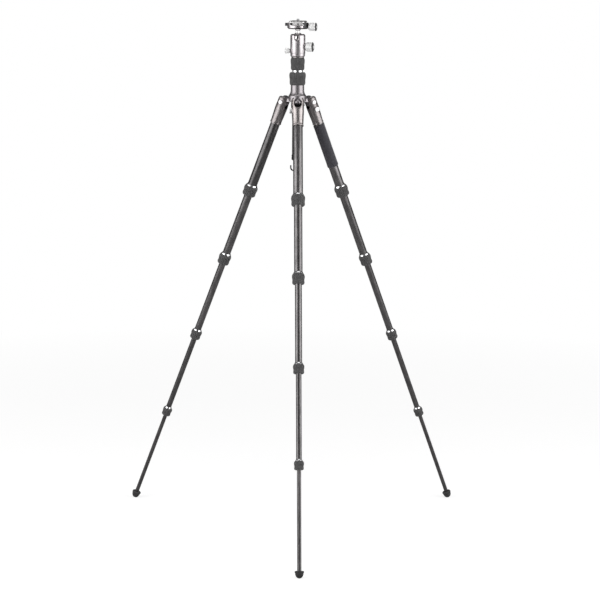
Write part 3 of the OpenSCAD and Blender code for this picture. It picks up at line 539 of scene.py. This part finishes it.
def makeTube(leg, k):
    p = legPlan
    r, (top, end) = tubeRadius(k), tubeSpan(k)
    bore = r - p["wall"]
    bush = r + p["gap"] - p["turnGap"]
    bm = bmesh.new()
    outline = [(bore, -top, 0), (r, -top, 0), (r, -end, 0), (bore, -end, 0)]
    if k > 1:
        guide = -top - p["guide"]
        outline = [(bore, -top, 1), (bush, -top, 1), (bush, guide, 1), (r, guide, 0), (r, -end, 0), (bore, -end, 0)]
    lathe(bm, soften(outline, 0.2, True, 2), 56)
    if k < 5:
        collar = {"nose": 0.5, "flare": 1.3, "flareH": 1.5, "rim": 2.2, "sleeve": 1.5, "round": 0.3}
        collet = {"face": 0.6, "fit": 0.04}
        t, length, thin = lockTops[k - 1], p["lockLen"][k - 1], tubeRadius(k + 1)
        inner, edge, sleeve = r + p["glue"], -t - p["ringH"], r + collar["sleeve"]
        low, stop = -t - length + p["lip"] + p["play"], -t - length + p["lip"] + p["taper"] + p["play"]
        outline = [(inner, -t, 2), (r + collar["nose"], -t, 2), (r + collar["flare"], -t - collar["flareH"], 2),
                   (r + collar["rim"], edge, 2), (sleeve, edge, 2), (sleeve, stop, 2), (inner, stop, 2)]
        lathe(bm, soften(outline, collar["round"], True), 72)
        seat, bed = thin + p["slide"], r - collet["fit"]
        lathe(bm, [(seat, low, 1), (thin + collet["face"], low, 1), (bed, low + p["taper"], 1),
                   (bed, low + p["collet"], 1), (seat, low + p["collet"], 1)], 48)
    piece = finishMesh(f"{leg}Tube{k}", bm, legFrame(leg), [tubeLooks[leg][k - 1], "nylon", "ring"])
    settle(piece, f"{leg}_leg" if k == 1 else f"{leg}_section_{k}", f"{leg}_tube_{k}")


def gripWave(count, depth, low, high, floor):  # flutes over part of a grip, deepest in its middle
    def wave(r, z, a):
        if low < z < high and r > floor:
            t = (z - low) / (high - low)
            reach = min(1.0, 6 * t, 6 * (1 - t))
            ridge = abs(math.sin(a * count / 2))
            r -= depth * reach * (1 - ridge) ** 2
        return r, z
    return wave


def gripOutline(length, thick, thin, bulge, shares, start, up):  # up: the thin end is above
    grip = {"cavity": 1.6, "rim": 2.4, "fit": 0.3, "cone": 0.9, "seat": 0.4, "lip": 3.2, "coneEnd": 5.8, "steps": 3}
    cavity, steps, sign = thick + grip["cavity"], grip["steps"], 1 if up else -1
    end, lip, coneEnd = sign * length, sign * (length - grip["lip"]), sign * (length - grip["coneEnd"])
    outer = [((bulge * s + thick * (1 - s)), sign * length * t) for t, s in shares]
    points = [(cavity, sign * start, 0)]
    if start > 0:
        points.append((thick + grip["rim"], sign * start, 0))
    for (ra, za), (rb, zb) in zip(outer, outer[1:]):
        for n in range(steps):
            points.append((ra + (rb - ra) * n / steps, za + (zb - za) * n / steps, 0))
    points.append((*outer[-1], 0))
    points += [(thin + grip["fit"], end, 0), (thin + grip["fit"], lip, 0), (thin + grip["cone"], lip, 0),
               (thick + grip["seat"], coneEnd, 0), (cavity, coneEnd, 0)]
    return points


def makeLock(leg, k):
    p = legPlan
    lock = {"flutes": 22 - 2 * k, "depth": 0.75, "low": 0.95, "high": 0.2, "floor": 2.9, "round": 0.5}
    thick, length = tubeRadius(k), p["lockLen"][k - 1]
    outline = gripOutline(length, thick, tubeRadius(k + 1), thick + p["bulge"], gripShares, p["ringH"] + p["play"],
                          False)
    low, high = -length * lock["low"], -length * lock["high"]
    wave = gripWave(lock["flutes"], lock["depth"], low, high, thick + lock["floor"])
    place = legFrame(leg) @ shifted(0, 0, -lockTops[k - 1])
    turnedPiece(f"{leg}Lock{k}", outline, place, ["rubber"], f"{leg}_twist_{k}", f"{leg}_lock_{k}",
                steps=lock["flutes"] * 8, wave=wave, round=lock["round"])


def makeFoot(leg):
    p = legPlan
    foot = {"flutes": 24, "depth": 0.5, "floor": 3.0, "round": 0.3}
    inner, r, ball, top = tubeRadius(5) + 0.04, p["footR"], p["footBall"], p["footDrop"]
    outline = [(inner, top, 0), (inner + 0.9, top, 0), (inner + 1.2, top - 0.5, 0), (r - 1.2, top - 0.5, 0),
               (r - 0.3, top - 0.9, 0), (r, top - 1.6, 0), (r, top - 3.0, 0), (r - 0.5, top - 4.2, 0),
               (r - 0.9, 2.6, 0), (r - 1.0, 2.2, 0), (r - 1.5, 1.9, 0), (r - 1.5, 1.4, 0), (r - 1.15, 1.1, 0),
               (r - 1.4, -0.6, 0)]
    for a in range(80, 0, -10):
        outline.append((ball * math.sin(math.radians(a)), -ball * math.cos(math.radians(a)), 0))
    outline += [(0, -ball, 0), (0, -ball / 2, 0), (inner, -ball / 2, 0)]
    wave = gripWave(foot["flutes"], foot["depth"], -ball * 0.95, -1.0, foot["floor"])
    turnedPiece(f"{leg}Foot", outline, legFrame(leg) @ shifted(0, 0, -(footTop + top)), ["foot"], f"{leg}_section_5",
                f"{leg}_foot", steps=96, wave=wave, round=foot["round"])


def makeTab(leg):  # rounded button with finger ridges and the tongue behind it
    tab = {"drop": 17.5, "h": 10.0, "w": 10.4, "out": 4.6, "neck": 2.4, "tongue": 3.6, "reach": 5.2, "corner": 3.4,
           "edge": 0.9, "wall": 9.0, "side": 14.0, "ridge": 0.45}
    bm = bmesh.new()
    face, back = -tab["side"] - tab["out"], -tab["wall"] - tab["neck"] - 0.3
    high = -tab["drop"] + tab["h"] / 2
    rows = [(back, 0.0), (face + tab["edge"], 0.0)]
    for a in (30, 60, 90):
        t = math.radians(a)
        rows.append((face + tab["edge"] * (1 - math.sin(t)), tab["edge"] * (1 - math.cos(t))))
    rings = []
    for y, inset in rows:
        ring = []
        for k in range(4):
            for n in range(7):
                a = math.radians(90 * k + 15 * n)
                r, right, above = tab["corner"] - inset, 1 if k in (0, 3) else -1, 1 if k < 2 else -1
                x = (tab["w"] / 2 - tab["corner"]) * right + r * math.cos(a)
                z = (tab["h"] / 2 - tab["corner"]) * above + r * math.sin(a)
                ring.append(bm.verts.new((x * mm, y * mm, (z - tab["drop"]) * mm)))
        rings.append(ring)
    bridge(bm, rings)
    for n in (-1, 0, 1):
        wide, z = tab["w"] * 0.34, -tab["drop"] + tab["h"] * 0.2 * n
        boxMesh(bm, (-wide, face - 0.3, z - tab["ridge"]), (wide, face + 0.4, z + tab["ridge"]), 0.25)
    boxMesh(bm, (-tab["w"] / 4, -tab["wall"] - tab["neck"] - 1.3, high - tab["tongue"]),
            (tab["w"] / 4, -tab["reach"], high), 0.3)
    settle(finishMesh(f"{leg}AngleTab", bm, legFrame(leg), ["tab"]), f"{leg}_tab", f"{leg}_angle_tab")


def makeSleeve():
    sleeve = {"start": 56.0, "length": 107.0}
    r = tubeRadius(1)
    inner = r + 0.04
    outline = [(inner, 0.0, 0), (r + 0.8, 0.0, 0), (r + 1.9, 0.9, 0), (r + 2.05, 3.0, 0), (r + 1.85, 8.0, 0)]
    outline += [(r + 1.8, z, 0) for z in range(14, 98, 8)]
    outline += [(r + 1.85, 101.0, 0), (r + 2.05, 104.0, 0), (r + 1.9, 106.1, 0), (r + 0.8, 107.0, 0),
                (inner, sleeve["length"], 0)]
    place = legFrame("right") @ shifted(0, 0, -(sleeve["start"] + sleeve["length"]))
    turnedPiece("gripSleeve", outline, place, ["foam"], "right_leg", "grip_sleeve", steps=64, round=0.3)


def makeBolts():  # three bolts, with a recess for the key in each round cap
    bolt = {"shaft": 3.0, "half": 14.6, "cap": 4.8, "face": 14.38, "h": 1.4, "key": 2.0}
    shaft, half, f, h, r = (bolt[k] for k in ("shaft", "half", "face", "h", "cap"))
    top, key = f + h, bolt["key"]
    dome = [(0, f, 0), (r, f, 0), (r, f + h * 0.45, 0), (r - 0.35, f + h * 0.8, 0), (r - 1.0, top, 0),
            (key + 0.4, top, 0), (key + 0.1, top - 0.2, 0), (key, top - 0.9, 0), (0, top - 0.9, 0)]
    bm = bmesh.new()
    for leg in legNames:
        about = legFrame(leg) @ lieAlongY
        lathe(bm, [(0, -half, 0), (shaft, -half, 0), (shaft, half, 0), (0, half, 0)], 32, closed=False, about=about)
        for flip in (180, 0):
            lathe(bm, soften(dome, 0.2, False, 2), 48, closed=False, about=about @ turnAbout("X", flip))
    settle(finishMesh("pivotBolts", bm, Matrix.Identity(4), ["steel"]), "shoulder", "pivot_bolts")


def shadeInsideFork(leg):  # painted shade on the cheeks and the floor of a casting's fork
    fork = {"cheek": 9.6, "floor": 8.9, "low": -40, "high": -4, "reach": 13}
    back = legFrame(leg).inverted()

    def test(point, normal):
        p, n = back @ (point * mm) / mm, back.to_3x3() @ normal
        onCheek = abs(p.y) < fork["cheek"] and abs(n.y) > 0.8 and n.y * p.y < 0
        onFloor = abs(p.y) < fork["floor"] and n.z > 0.3 and math.hypot(p.x, p.y) < fork["reach"]
        return onCheek or (onFloor and fork["low"] < p.z < fork["high"])
    return test


def makeLegs():
    for leg in legNames:
        softCopy(f"{leg}TopCasting", f"{leg}_top_casting", castingLooks[leg], f"{leg}_leg", 0.5,
                 shadeInsideFork(leg))
        makeTab(leg)
        for k in range(1, 6):
            makeTube(leg, k)
        for k in range(1, 5):
            makeLock(leg, k)
        makeFoot(leg)
    makeSleeve()
    makeBolts()
    print("legs made")


# ---- shoulder and column

columnPlan = {"r": 11.5, "wall": 1.2, "gap": 0.4, "neck": 39.6, "play": 0.3, "lowLock": 28.4, "lowR": 18.9,
              "ring": 5.3, "highLock": 27.9, "highR": 16.2, "drop": 120.0, "capH": 12.0, "capR": 12.4, "plug": 9.0,
              "eye": 3.0, "platformR": 14.6, "platformH": 2.2, "panH": 6.6, "glue": 0.04}
lowShares = [(0, 0.62), (0.05, 0.74), (0.12, 0.83), (0.22, 0.85), (0.34, 0.83), (0.45, 0.84), (0.56, 0.92),
             (0.68, 0.99), (0.78, 1.0), (0.88, 0.95), (0.95, 0.82), (1.0, 0.6)]
highShares = [(0, 0.5), (0.06, 0.72), (0.14, 0.85), (0.25, 0.87), (0.36, 0.83), (0.46, 0.84), (0.56, 0.93),
              (0.68, 0.99), (0.77, 1.0), (0.87, 0.93), (0.95, 0.74), (1.0, 0.5)]
hingeMm = hingeZ / mm
lowLockZ = hingeMm + columnPlan["neck"] + columnPlan["play"]
ringZ = lowLockZ + columnPlan["lowLock"]
highLockZ = ringZ + columnPlan["ring"]
platformZ = highLockZ + columnPlan["highLock"] + columnPlan["play"]
panZ = platformZ + columnPlan["platformH"]
columnBottom = hingeMm - columnPlan["drop"]
innerR = columnPlan["r"] - columnPlan["wall"] - columnPlan["gap"]


def shadeUnderKnuckle(point, normal):  # painted shade on the shoulder's faces low in the forks
    dark = {"from": -1.2, "to": 12, "half": 9, "low": -14, "high": 1.2}
    for leg in legNames:
        p = armFrame(leg).inverted() @ (point * mm) / mm
        if dark["from"] < p.x < dark["to"] and abs(p.y) < dark["half"] and dark["low"] < p.z < dark["high"]:
            return True
    return False


# two dark plugs in each arm stand for its holes: painted shade in the holes
def makeKnuckleHoles():
    hole = {"r": 1.45, "gap": 7.8, "rise": 3.5, "turn": 34, "top": 7.9, "deep": 5.2}
    r, top, deep = hole["r"], hole["top"], hole["deep"]
    outline = [(0, deep, 0), (r, deep, 0), (r, top, 0), (0, top - 0.3, 0)]
    bm = bmesh.new()
    for leg in legNames:
        for side in (-0.5, 0.5):
            about = armFrame(leg) @ shifted(0, side * hole["gap"], hole["rise"]) @ turnAbout("Y", hole["turn"])
            lathe(bm, outline, 24, closed=False, about=about)
    settle(finishMesh("knuckleHoles", bm, Matrix.Identity(4), ["pit"]), "shoulder")


def makeColumnGrips():
    p = columnPlan
    grip = {"low": 0.08, "high": 0.92, "lowFlutes": 26, "lowDepth": 0.7, "lowFloor": 15.6, "lowThick": 12.7,
            "highFlutes": 24, "highDepth": 0.65, "highFloor": 13.6, "round": 0.5}
    rows = (("lowerColumnGrip", "low", grip["lowThick"], p["r"], lowShares, lowLockZ, "lower_twist",
             "lower_column_lock"),
            ("upperColumnGrip", "high", p["r"], innerR, highShares, highLockZ, "upper_twist", "upper_column_lock"))
    for name, kind, thick, thin, shares, z, body, node in rows:
        length, flutes = p[kind + "Lock"], grip[kind + "Flutes"]
        low, high = length * grip["low"], length * grip["high"]
        wave = gripWave(flutes, grip[kind + "Depth"], low, high, grip[kind + "Floor"])
        outline = gripOutline(length, thick, thin, p[kind + "R"], shares, 0, True)
        turnedPiece(name, outline, onAxis(z * mm), ["rubber"], body, node, steps=flutes * 8, wave=wave,
                    round=grip["round"])


def makeColumnTubes():
    p = columnPlan
    r, ring = p["r"], p["ring"]
    collar = {"lip": 3.2, "collet": 7.0, "step": 0.4, "sleeve": 1.5, "height": 21.8}
    bm = bmesh.new()
    bore, low = r - p["wall"], columnBottom - ringZ
    top = ring + p["highLock"] - collar["lip"] - p["play"] - collar["collet"] - p["play"]
    lathe(bm, soften([(bore, low, 0), (r, low, 0), (r, top, 0), (bore, top, 0)], 0.2, True, 2), 72)
    inside, step, sleeve, edge = r + 0.02, r + collar["step"], r + collar["sleeve"], ring + collar["height"]
    outline = [(inside, 0.3, 1), (r + 0.3, 0.3, 1), (step, 0.6, 1), (step, ring - 0.6, 1), (r + 0.2, ring - 0.3, 1),
               (sleeve, ring - 0.3, 1), (sleeve, edge, 1), (inside, edge, 1)]
    lathe(bm, soften(outline, 0.15, True, 2), 72)
    settle(finishMesh("outerColumnTube", bm, onAxis(ringZ * mm), ["carbon", "ring"]), "outer_tube", "outer_column")
    bottom = columnBottom + p["plug"] + p["play"]
    bore, guide, bush, height = innerR - p["wall"], innerR + 0.3, 22, platformZ - bottom
    outline = [(bore, 0, 1), (guide, 0, 1), (guide, bush, 1), (innerR, bush, 0), (innerR, height, 0),
               (bore, height, 0)]
    turnedPiece("innerColumnTube", outline, onAxis(bottom * mm), ["carbon", "nylon"], "inner_tube", "inner_column",
                round=0.2)


def makeColumnEnds():
    p = columnPlan
    plugR, r, h, hole = p["r"] - p["wall"] - p["glue"], p["capR"], -p["capH"], 1.8
    eye = h - p["eye"]
    cap = [(hole, eye, 0), (4, eye, 0), (4, h, 0), (r - 1.6, h, 0), (r, h + 1.6, 0), (r, -4.2, 0), (r - 0.5, -3.7, 0),
           (r - 0.5, -3.1, 0), (r, -2.6, 0), (r, 0, 0), (plugR, 0, 0), (plugR, p["plug"], 0), (0, p["plug"], 0),
           (0, -1, 0), (hole, -1, 0)]
    turnedPiece("columnEndCap", cap, onAxis(columnBottom * mm), ["black"], "outer_tube", "column_end_cap",
                round=0.4)
    makeHook()
    bore, stub, deep, r, h = 4.8, innerR - p["wall"] - p["glue"], -18, p["platformR"], p["platformH"]
    disc = [(bore, deep, 0), (stub, deep, 0), (stub, 0, 0), (r - 0.2, 0, 0), (r, 0.4, 0), (r, 1.6, 0),
            (r - 0.5, h, 0), (bore, h, 0)]
    turnedPiece("headPlatform", disc, onAxis(platformZ * mm), ["casting"], "inner_tube", "head_platform",
                round=0.3)


def makeHook():
    hook = {"r": 7.0, "wire": 1.7, "drop": 14.0, "tip": 4.0, "shank": 9, "sides": 24, "bends": 18, "caps": 5,
            "sharp": 60}
    centre = columnBottom - columnPlan["capH"] - columnPlan["eye"] - hook["drop"]
    turns = [2 * math.pi * n / hook["sides"] for n in range(hook["sides"])]
    path = [Vector((0, 0, z)) for z in (hook["drop"] + hook["shank"], hook["drop"], hook["drop"] * 0.5)]
    for n in range(hook["bends"] + 1):
        a = math.radians(-180 * n / hook["bends"])
        path.append(Vector((-hook["r"] + hook["r"] * math.cos(a), 0, hook["r"] * math.sin(a))))
    path.append(Vector((-2 * hook["r"], 0, hook["tip"])))
    bm = bmesh.new()
    rings = []
    side = Vector((0, 1, 0))
    for k, point in enumerate(path):
        ahead = (path[min(k + 1, len(path) - 1)] - path[max(k - 1, 0)]).normalized()
        other = ahead.cross(side)
        rings.append([bm.verts.new((point + (side * math.cos(t) + other * math.sin(t)) * hook["wire"]) * mm)
                      for t in turns])
    for n in range(1, hook["caps"]):  # round tip
        a = math.radians(90 * n / hook["caps"])
        point, r = path[-1] + Vector((0, 0, hook["wire"] * math.sin(a))), hook["wire"] * math.cos(a)
        rings.append([bm.verts.new((point + (side * math.cos(t) + Vector((-1, 0, 0)) * math.sin(t)) * r) * mm)
                      for t in turns])
    bridge(bm, rings)
    settle(finishMesh("bagHook", bm, onAxis(centre * mm), ["hook"], hook["sharp"]), "hook", "bag_hook")


def makeColumn():
    softCopy("shoulderCasting", "shoulder", "shoulder", "shoulder", 0.5, shadeUnderKnuckle)
    makeKnuckleHoles()
    makeColumnGrips()
    makeColumnTubes()
    makeColumnEnds()
    print("column made")


# ---- ball head

headPlan = {"r": 17.0, "ball": 12.5, "stem": 4.5, "reach": 20.6, "knobBack": 18.9, "mainKnobR": 10.4,
            "mainReach": 36.4, "panKnobR": 5.9, "panReach": 30.0, "panKnobTurn": 206, "knobHole": 9}
ballZ = joints["ball_tilt"]["pos_m"][2] / mm
clampZ = ballZ + headPlan["reach"]


def knurl(count, depth, low, high, least):  # straight ribs on a stretch of Z
    def wave(r, z, a):
        if low <= z <= high and r > least:
            r -= depth * (0.5 - 0.5 * math.cos(a * count)) ** 2
        return r, z
    return wave


def knobPiece(name, r, back, reach, shank, deep, place, body, node, ribs, dark=1):
    knob = {"neck": 2.6, "gap": 0.6, "lead": 0.3, "band": 5.0, "bandH": 4.0, "step": 0.3, "face": 0.78, "dish": 0.4,
            "ribs": 0.45, "round": 0.25}
    neck, foot = min(r / 2, knob["neck"]), back - knob["gap"] - deep + knob["lead"]
    band, step, face = reach - knob["band"], knob["step"], r * knob["face"]
    end = band + knob["bandH"]
    outline = [(0, foot, 0), (shank, foot, 0), (shank, back, 0), (r - neck, back, 0), (r, back + neck, 0),
               (r, band - 0.8, 0), (r - step, band - 0.5, 0), (r - step, band, 0), (r + step, band, 0),
               (r + step, band + 1.4, 0), (r + step, band + 2.4, dark), (r + step, band + 3.0, dark),
               (r + 0.1, band + 3.8, dark), (r - step, end, dark), (face, end, dark), (face, reach - step, dark),
               (face - step, reach, dark), (r * knob["dish"], reach, 0), (r * 0.36, reach - step, 0),
               (0, reach - step, 0)]
    wave = knurl(ribs, knob["ribs"], band - 0.01, band + 3.9, r - 0.1)
    turnedPiece(name, outline, place @ lieAlongX, ["knob", "rubber"], body, node, steps=ribs * 4,
                wave=wave, round=knob["round"], closed=False)


def makeHead():
    p = headPlan
    r, h, bore, neck = p["r"] - 0.4, columnPlan["panH"], 4.8, 9
    base = [(bore, 0, 0), (r - 1.6, 0, 0), (r, 1.6, 0), (r, 2.6, 0), (r - 0.35, 2.9, 0), (r - 0.35, 3.3, 0),
            (r, 3.6, 0), (r, h - 0.7, 0), (r - 0.7, h, 0), (neck, h, 0), (neck, h + 4, 0), (0, h + 4, 0), (0, 5.4, 0),
            (bore, 5.4, 0)]
    turnedPiece("panBase", base, onAxis(panZ * mm), ["head"], "inner_tube", "pan_base", steps=96,
                round=0.25)
    softCopy("headHousing", "head_housing", "head", "head", 0.5)
    size, stem, reach = p["ball"], p["stem"], p["reach"]
    ball = [(0, -size, 0)]
    for a in range(6, 159, 6):
        ball.append((size * math.sin(math.radians(a)), -size * math.cos(math.radians(a)), 0))
    ball += [(stem, size * math.cos(math.radians(21)) + 0.2, 0), (stem, 16.0, 0), (stem + 0.4, 17.2, 0),
             (stem + 2.2, 19.2, 0), (2 * stem, reach - 0.4, 0), (2 * stem, reach, 0), (0, reach, 0)]
    turnedPiece("ballStem", ball, onHead(ballZ * mm), ["polish"], "ball", "ball_stem", steps=96,
                round=0, closed=False, sharp=50)
    place = onHead(joints["main_knob_turn"]["pos_m"][2])
    knobPiece("mainKnob", p["mainKnobR"], p["knobBack"], p["mainReach"], 3.0, p["knobHole"], place, "tilt_knob",
              "main_knob", 40)
    place = onHead(joints["pan_knob_turn"]["pos_m"][2]) @ turnAbout("Z", p["panKnobTurn"])
    knobPiece("panKnob", p["panKnobR"], p["knobBack"], p["panReach"], 1.5, p["knobHole"], place, "lock_knob",
              "pan_knob", 28, 0)
    print("head made")


# ---- clamp and camera plate

clampPlan = {"r": 24.2, "floor": 7.6, "h": 13.6, "plateL": 38.0, "dovetail": 6.6, "slab": 2.4, "pad": 1.0,
             "play": 0.3, "level": (-23.4, -4.2), "levelR": 4.4, "levelH": 4.6, "knobR": 9.0, "knobReach": 43.5,
             "knobGap": 0.6, "knobFoot": 8.7, "levelDip": 0.8}
plateZ = clampZ + clampPlan["floor"] + clampPlan["play"]
padTop = plateZ + clampPlan["dovetail"] + clampPlan["slab"] + clampPlan["pad"]


def paintedShadeOfClamp(point, normal):  # painted shade on the chamfer under the clamp and on the outside of the level's boss
    dark = {"chamfer": 3.5, "steep": -0.95, "flat": -0.3, "upright": 0.5, "from": 1, "cup": 4.7}
    p, n = onHead(clampZ * mm).inverted() @ (point * mm) / mm, onHead(0).inverted().to_3x3() @ normal
    x, y = clampPlan["level"]
    onChamfer = p.z < dark["chamfer"] and dark["steep"] < n.z < dark["flat"]
    onBoss = abs(n.z) < dark["upright"] and p.x < x + dark["from"] and math.hypot(p.x - x, p.y - y) > dark["cup"]
    return onChamfer or onBoss


def makeClamp():
    p = clampPlan
    softCopy("clampBody", "clamp_body", "head", "ball", 0.4, paintedShadeOfClamp)
    softCopy("clampJaw", "clamp_jaw", "black", "jaw", 0.4)
    back = p["r"] + p["knobGap"]
    knobPiece("clampKnob", p["knobR"], back, p["knobReach"], 1.5, back - p["knobGap"] - p["knobFoot"],
              onHead(joints["clamp_knob_turn"]["pos_m"][2]), "jaw_knob", "clamp_knob", 36)
    x, y = p["level"]
    r, h = p["levelR"], p["levelH"]
    place = onHead((clampZ + p["h"] - p["levelDip"] - h) * mm) @ shifted(x, y, 0)
    cup = [(0, 0, 0), (r, 0, 0), (r, h, 0), (r - 0.2, 4.9, 2), (r - 0.9, 5.0, 2), (r - 1.1, h, 1),
           (r * 0.45, 4.95, 1), (0, 5.0, 1)]
    turnedPiece("spiritLevel", cup, place, ["black", "vial", "head"], "ball", "spirit_level", steps=48,
                round=0.15, closed=False)
    softCopy("cameraPlate", "camera_plate", "plate", "plate", 0.5)
    makePlateStops()
    softCopy("platePad", "plate_pad", "pad", "plate", 0.15)
    makeScrew()
    print("clamp made")


def makePlateStops():  # they keep the plate from sliding out
    stops = ({"x": -11.6, "z": 11.2, "r": 2.5, "stretch": 1.4}, {"x": 4.0, "z": 11.4, "r": 1.8, "stretch": 1.0})
    bm = bmesh.new()
    for stop in stops:
        r = stop["r"]
        about = shifted(stop["x"], -clampPlan["plateL"] / 2, stop["z"]) @ turnAbout("X", 90)
        about = about @ Matrix.Diagonal((stop["stretch"], 1, 1, 1))
        lathe(bm, [(0, -0.6, 0), (r, -0.6, 0), (r, 0.15, 0), (r - 0.3, 0.25, 0), (r - 0.5, 0.1, 0), (0, 0.05, 0)], 32,
              closed=False, about=about)
    settle(finishMesh("plateStops", bm, onHead(clampZ * mm), ["pit"]), "plate")


def makeScrew():  # quarter-inch thread with its real pitch
    screw = {"r": 3.175, "pitch": 1.27, "depth": 0.65, "low": 0.3, "high": 4.4, "tip": 0.7, "flange": 7.0,
             "core": 2.4, "headH": 1.8, "headZ": 1.5, "steps": 48, "rows": 40}
    bm = bmesh.new()
    base = padTop - clampZ
    head = clampPlan["floor"] + clampPlan["play"] + screw["headZ"]
    rim, top = head + screw["headH"], base + screw["low"]
    outline = [(0, head, 0), (6.4, head, 0), (screw["flange"], head + 0.5, 0), (screw["flange"], rim, 0),
               (screw["core"], rim, 0), (screw["core"], top, 0), (0, top, 0)]
    lathe(bm, soften(outline, 0.2, False, 2), screw["steps"], closed=False)
    rings = []
    for k in range(screw["rows"] + 1):
        z = screw["low"] + (screw["high"] - screw["low"]) * k / screw["rows"]
        ring = []
        for n in range(screw["steps"]):
            a = 2 * math.pi * n / screw["steps"]
            t = (z / screw["pitch"] - n / screw["steps"]) % 1.0
            r = screw["r"] - screw["depth"] * (1 - abs(2 * t - 1))
            r = min(r, screw["r"] - screw["tip"] + (screw["high"] - z))
            ring.append(bm.verts.new((r * math.cos(a) * mm, r * math.sin(a) * mm, (base + z) * mm)))
        rings.append(ring)
    bridge(bm, rings)
    settle(finishMesh("cameraScrew", bm, onHead(clampZ * mm), ["steel"]), "screw", "camera_screw")


aimCamera()
lightStage()
makeFloor()
makeLegs()
makeColumn()
makeHead()
makeClamp()

plainNodes = {"column_bush": "nylon", "head_stud": "steel"}  # kept as they are, with a finish
for node, look in plainNodes.items():
    data = frame["nodes"][node].data
    data.materials.clear()
    data.materials.append(looks[look])

scene.view_settings.view_transform = "Standard"
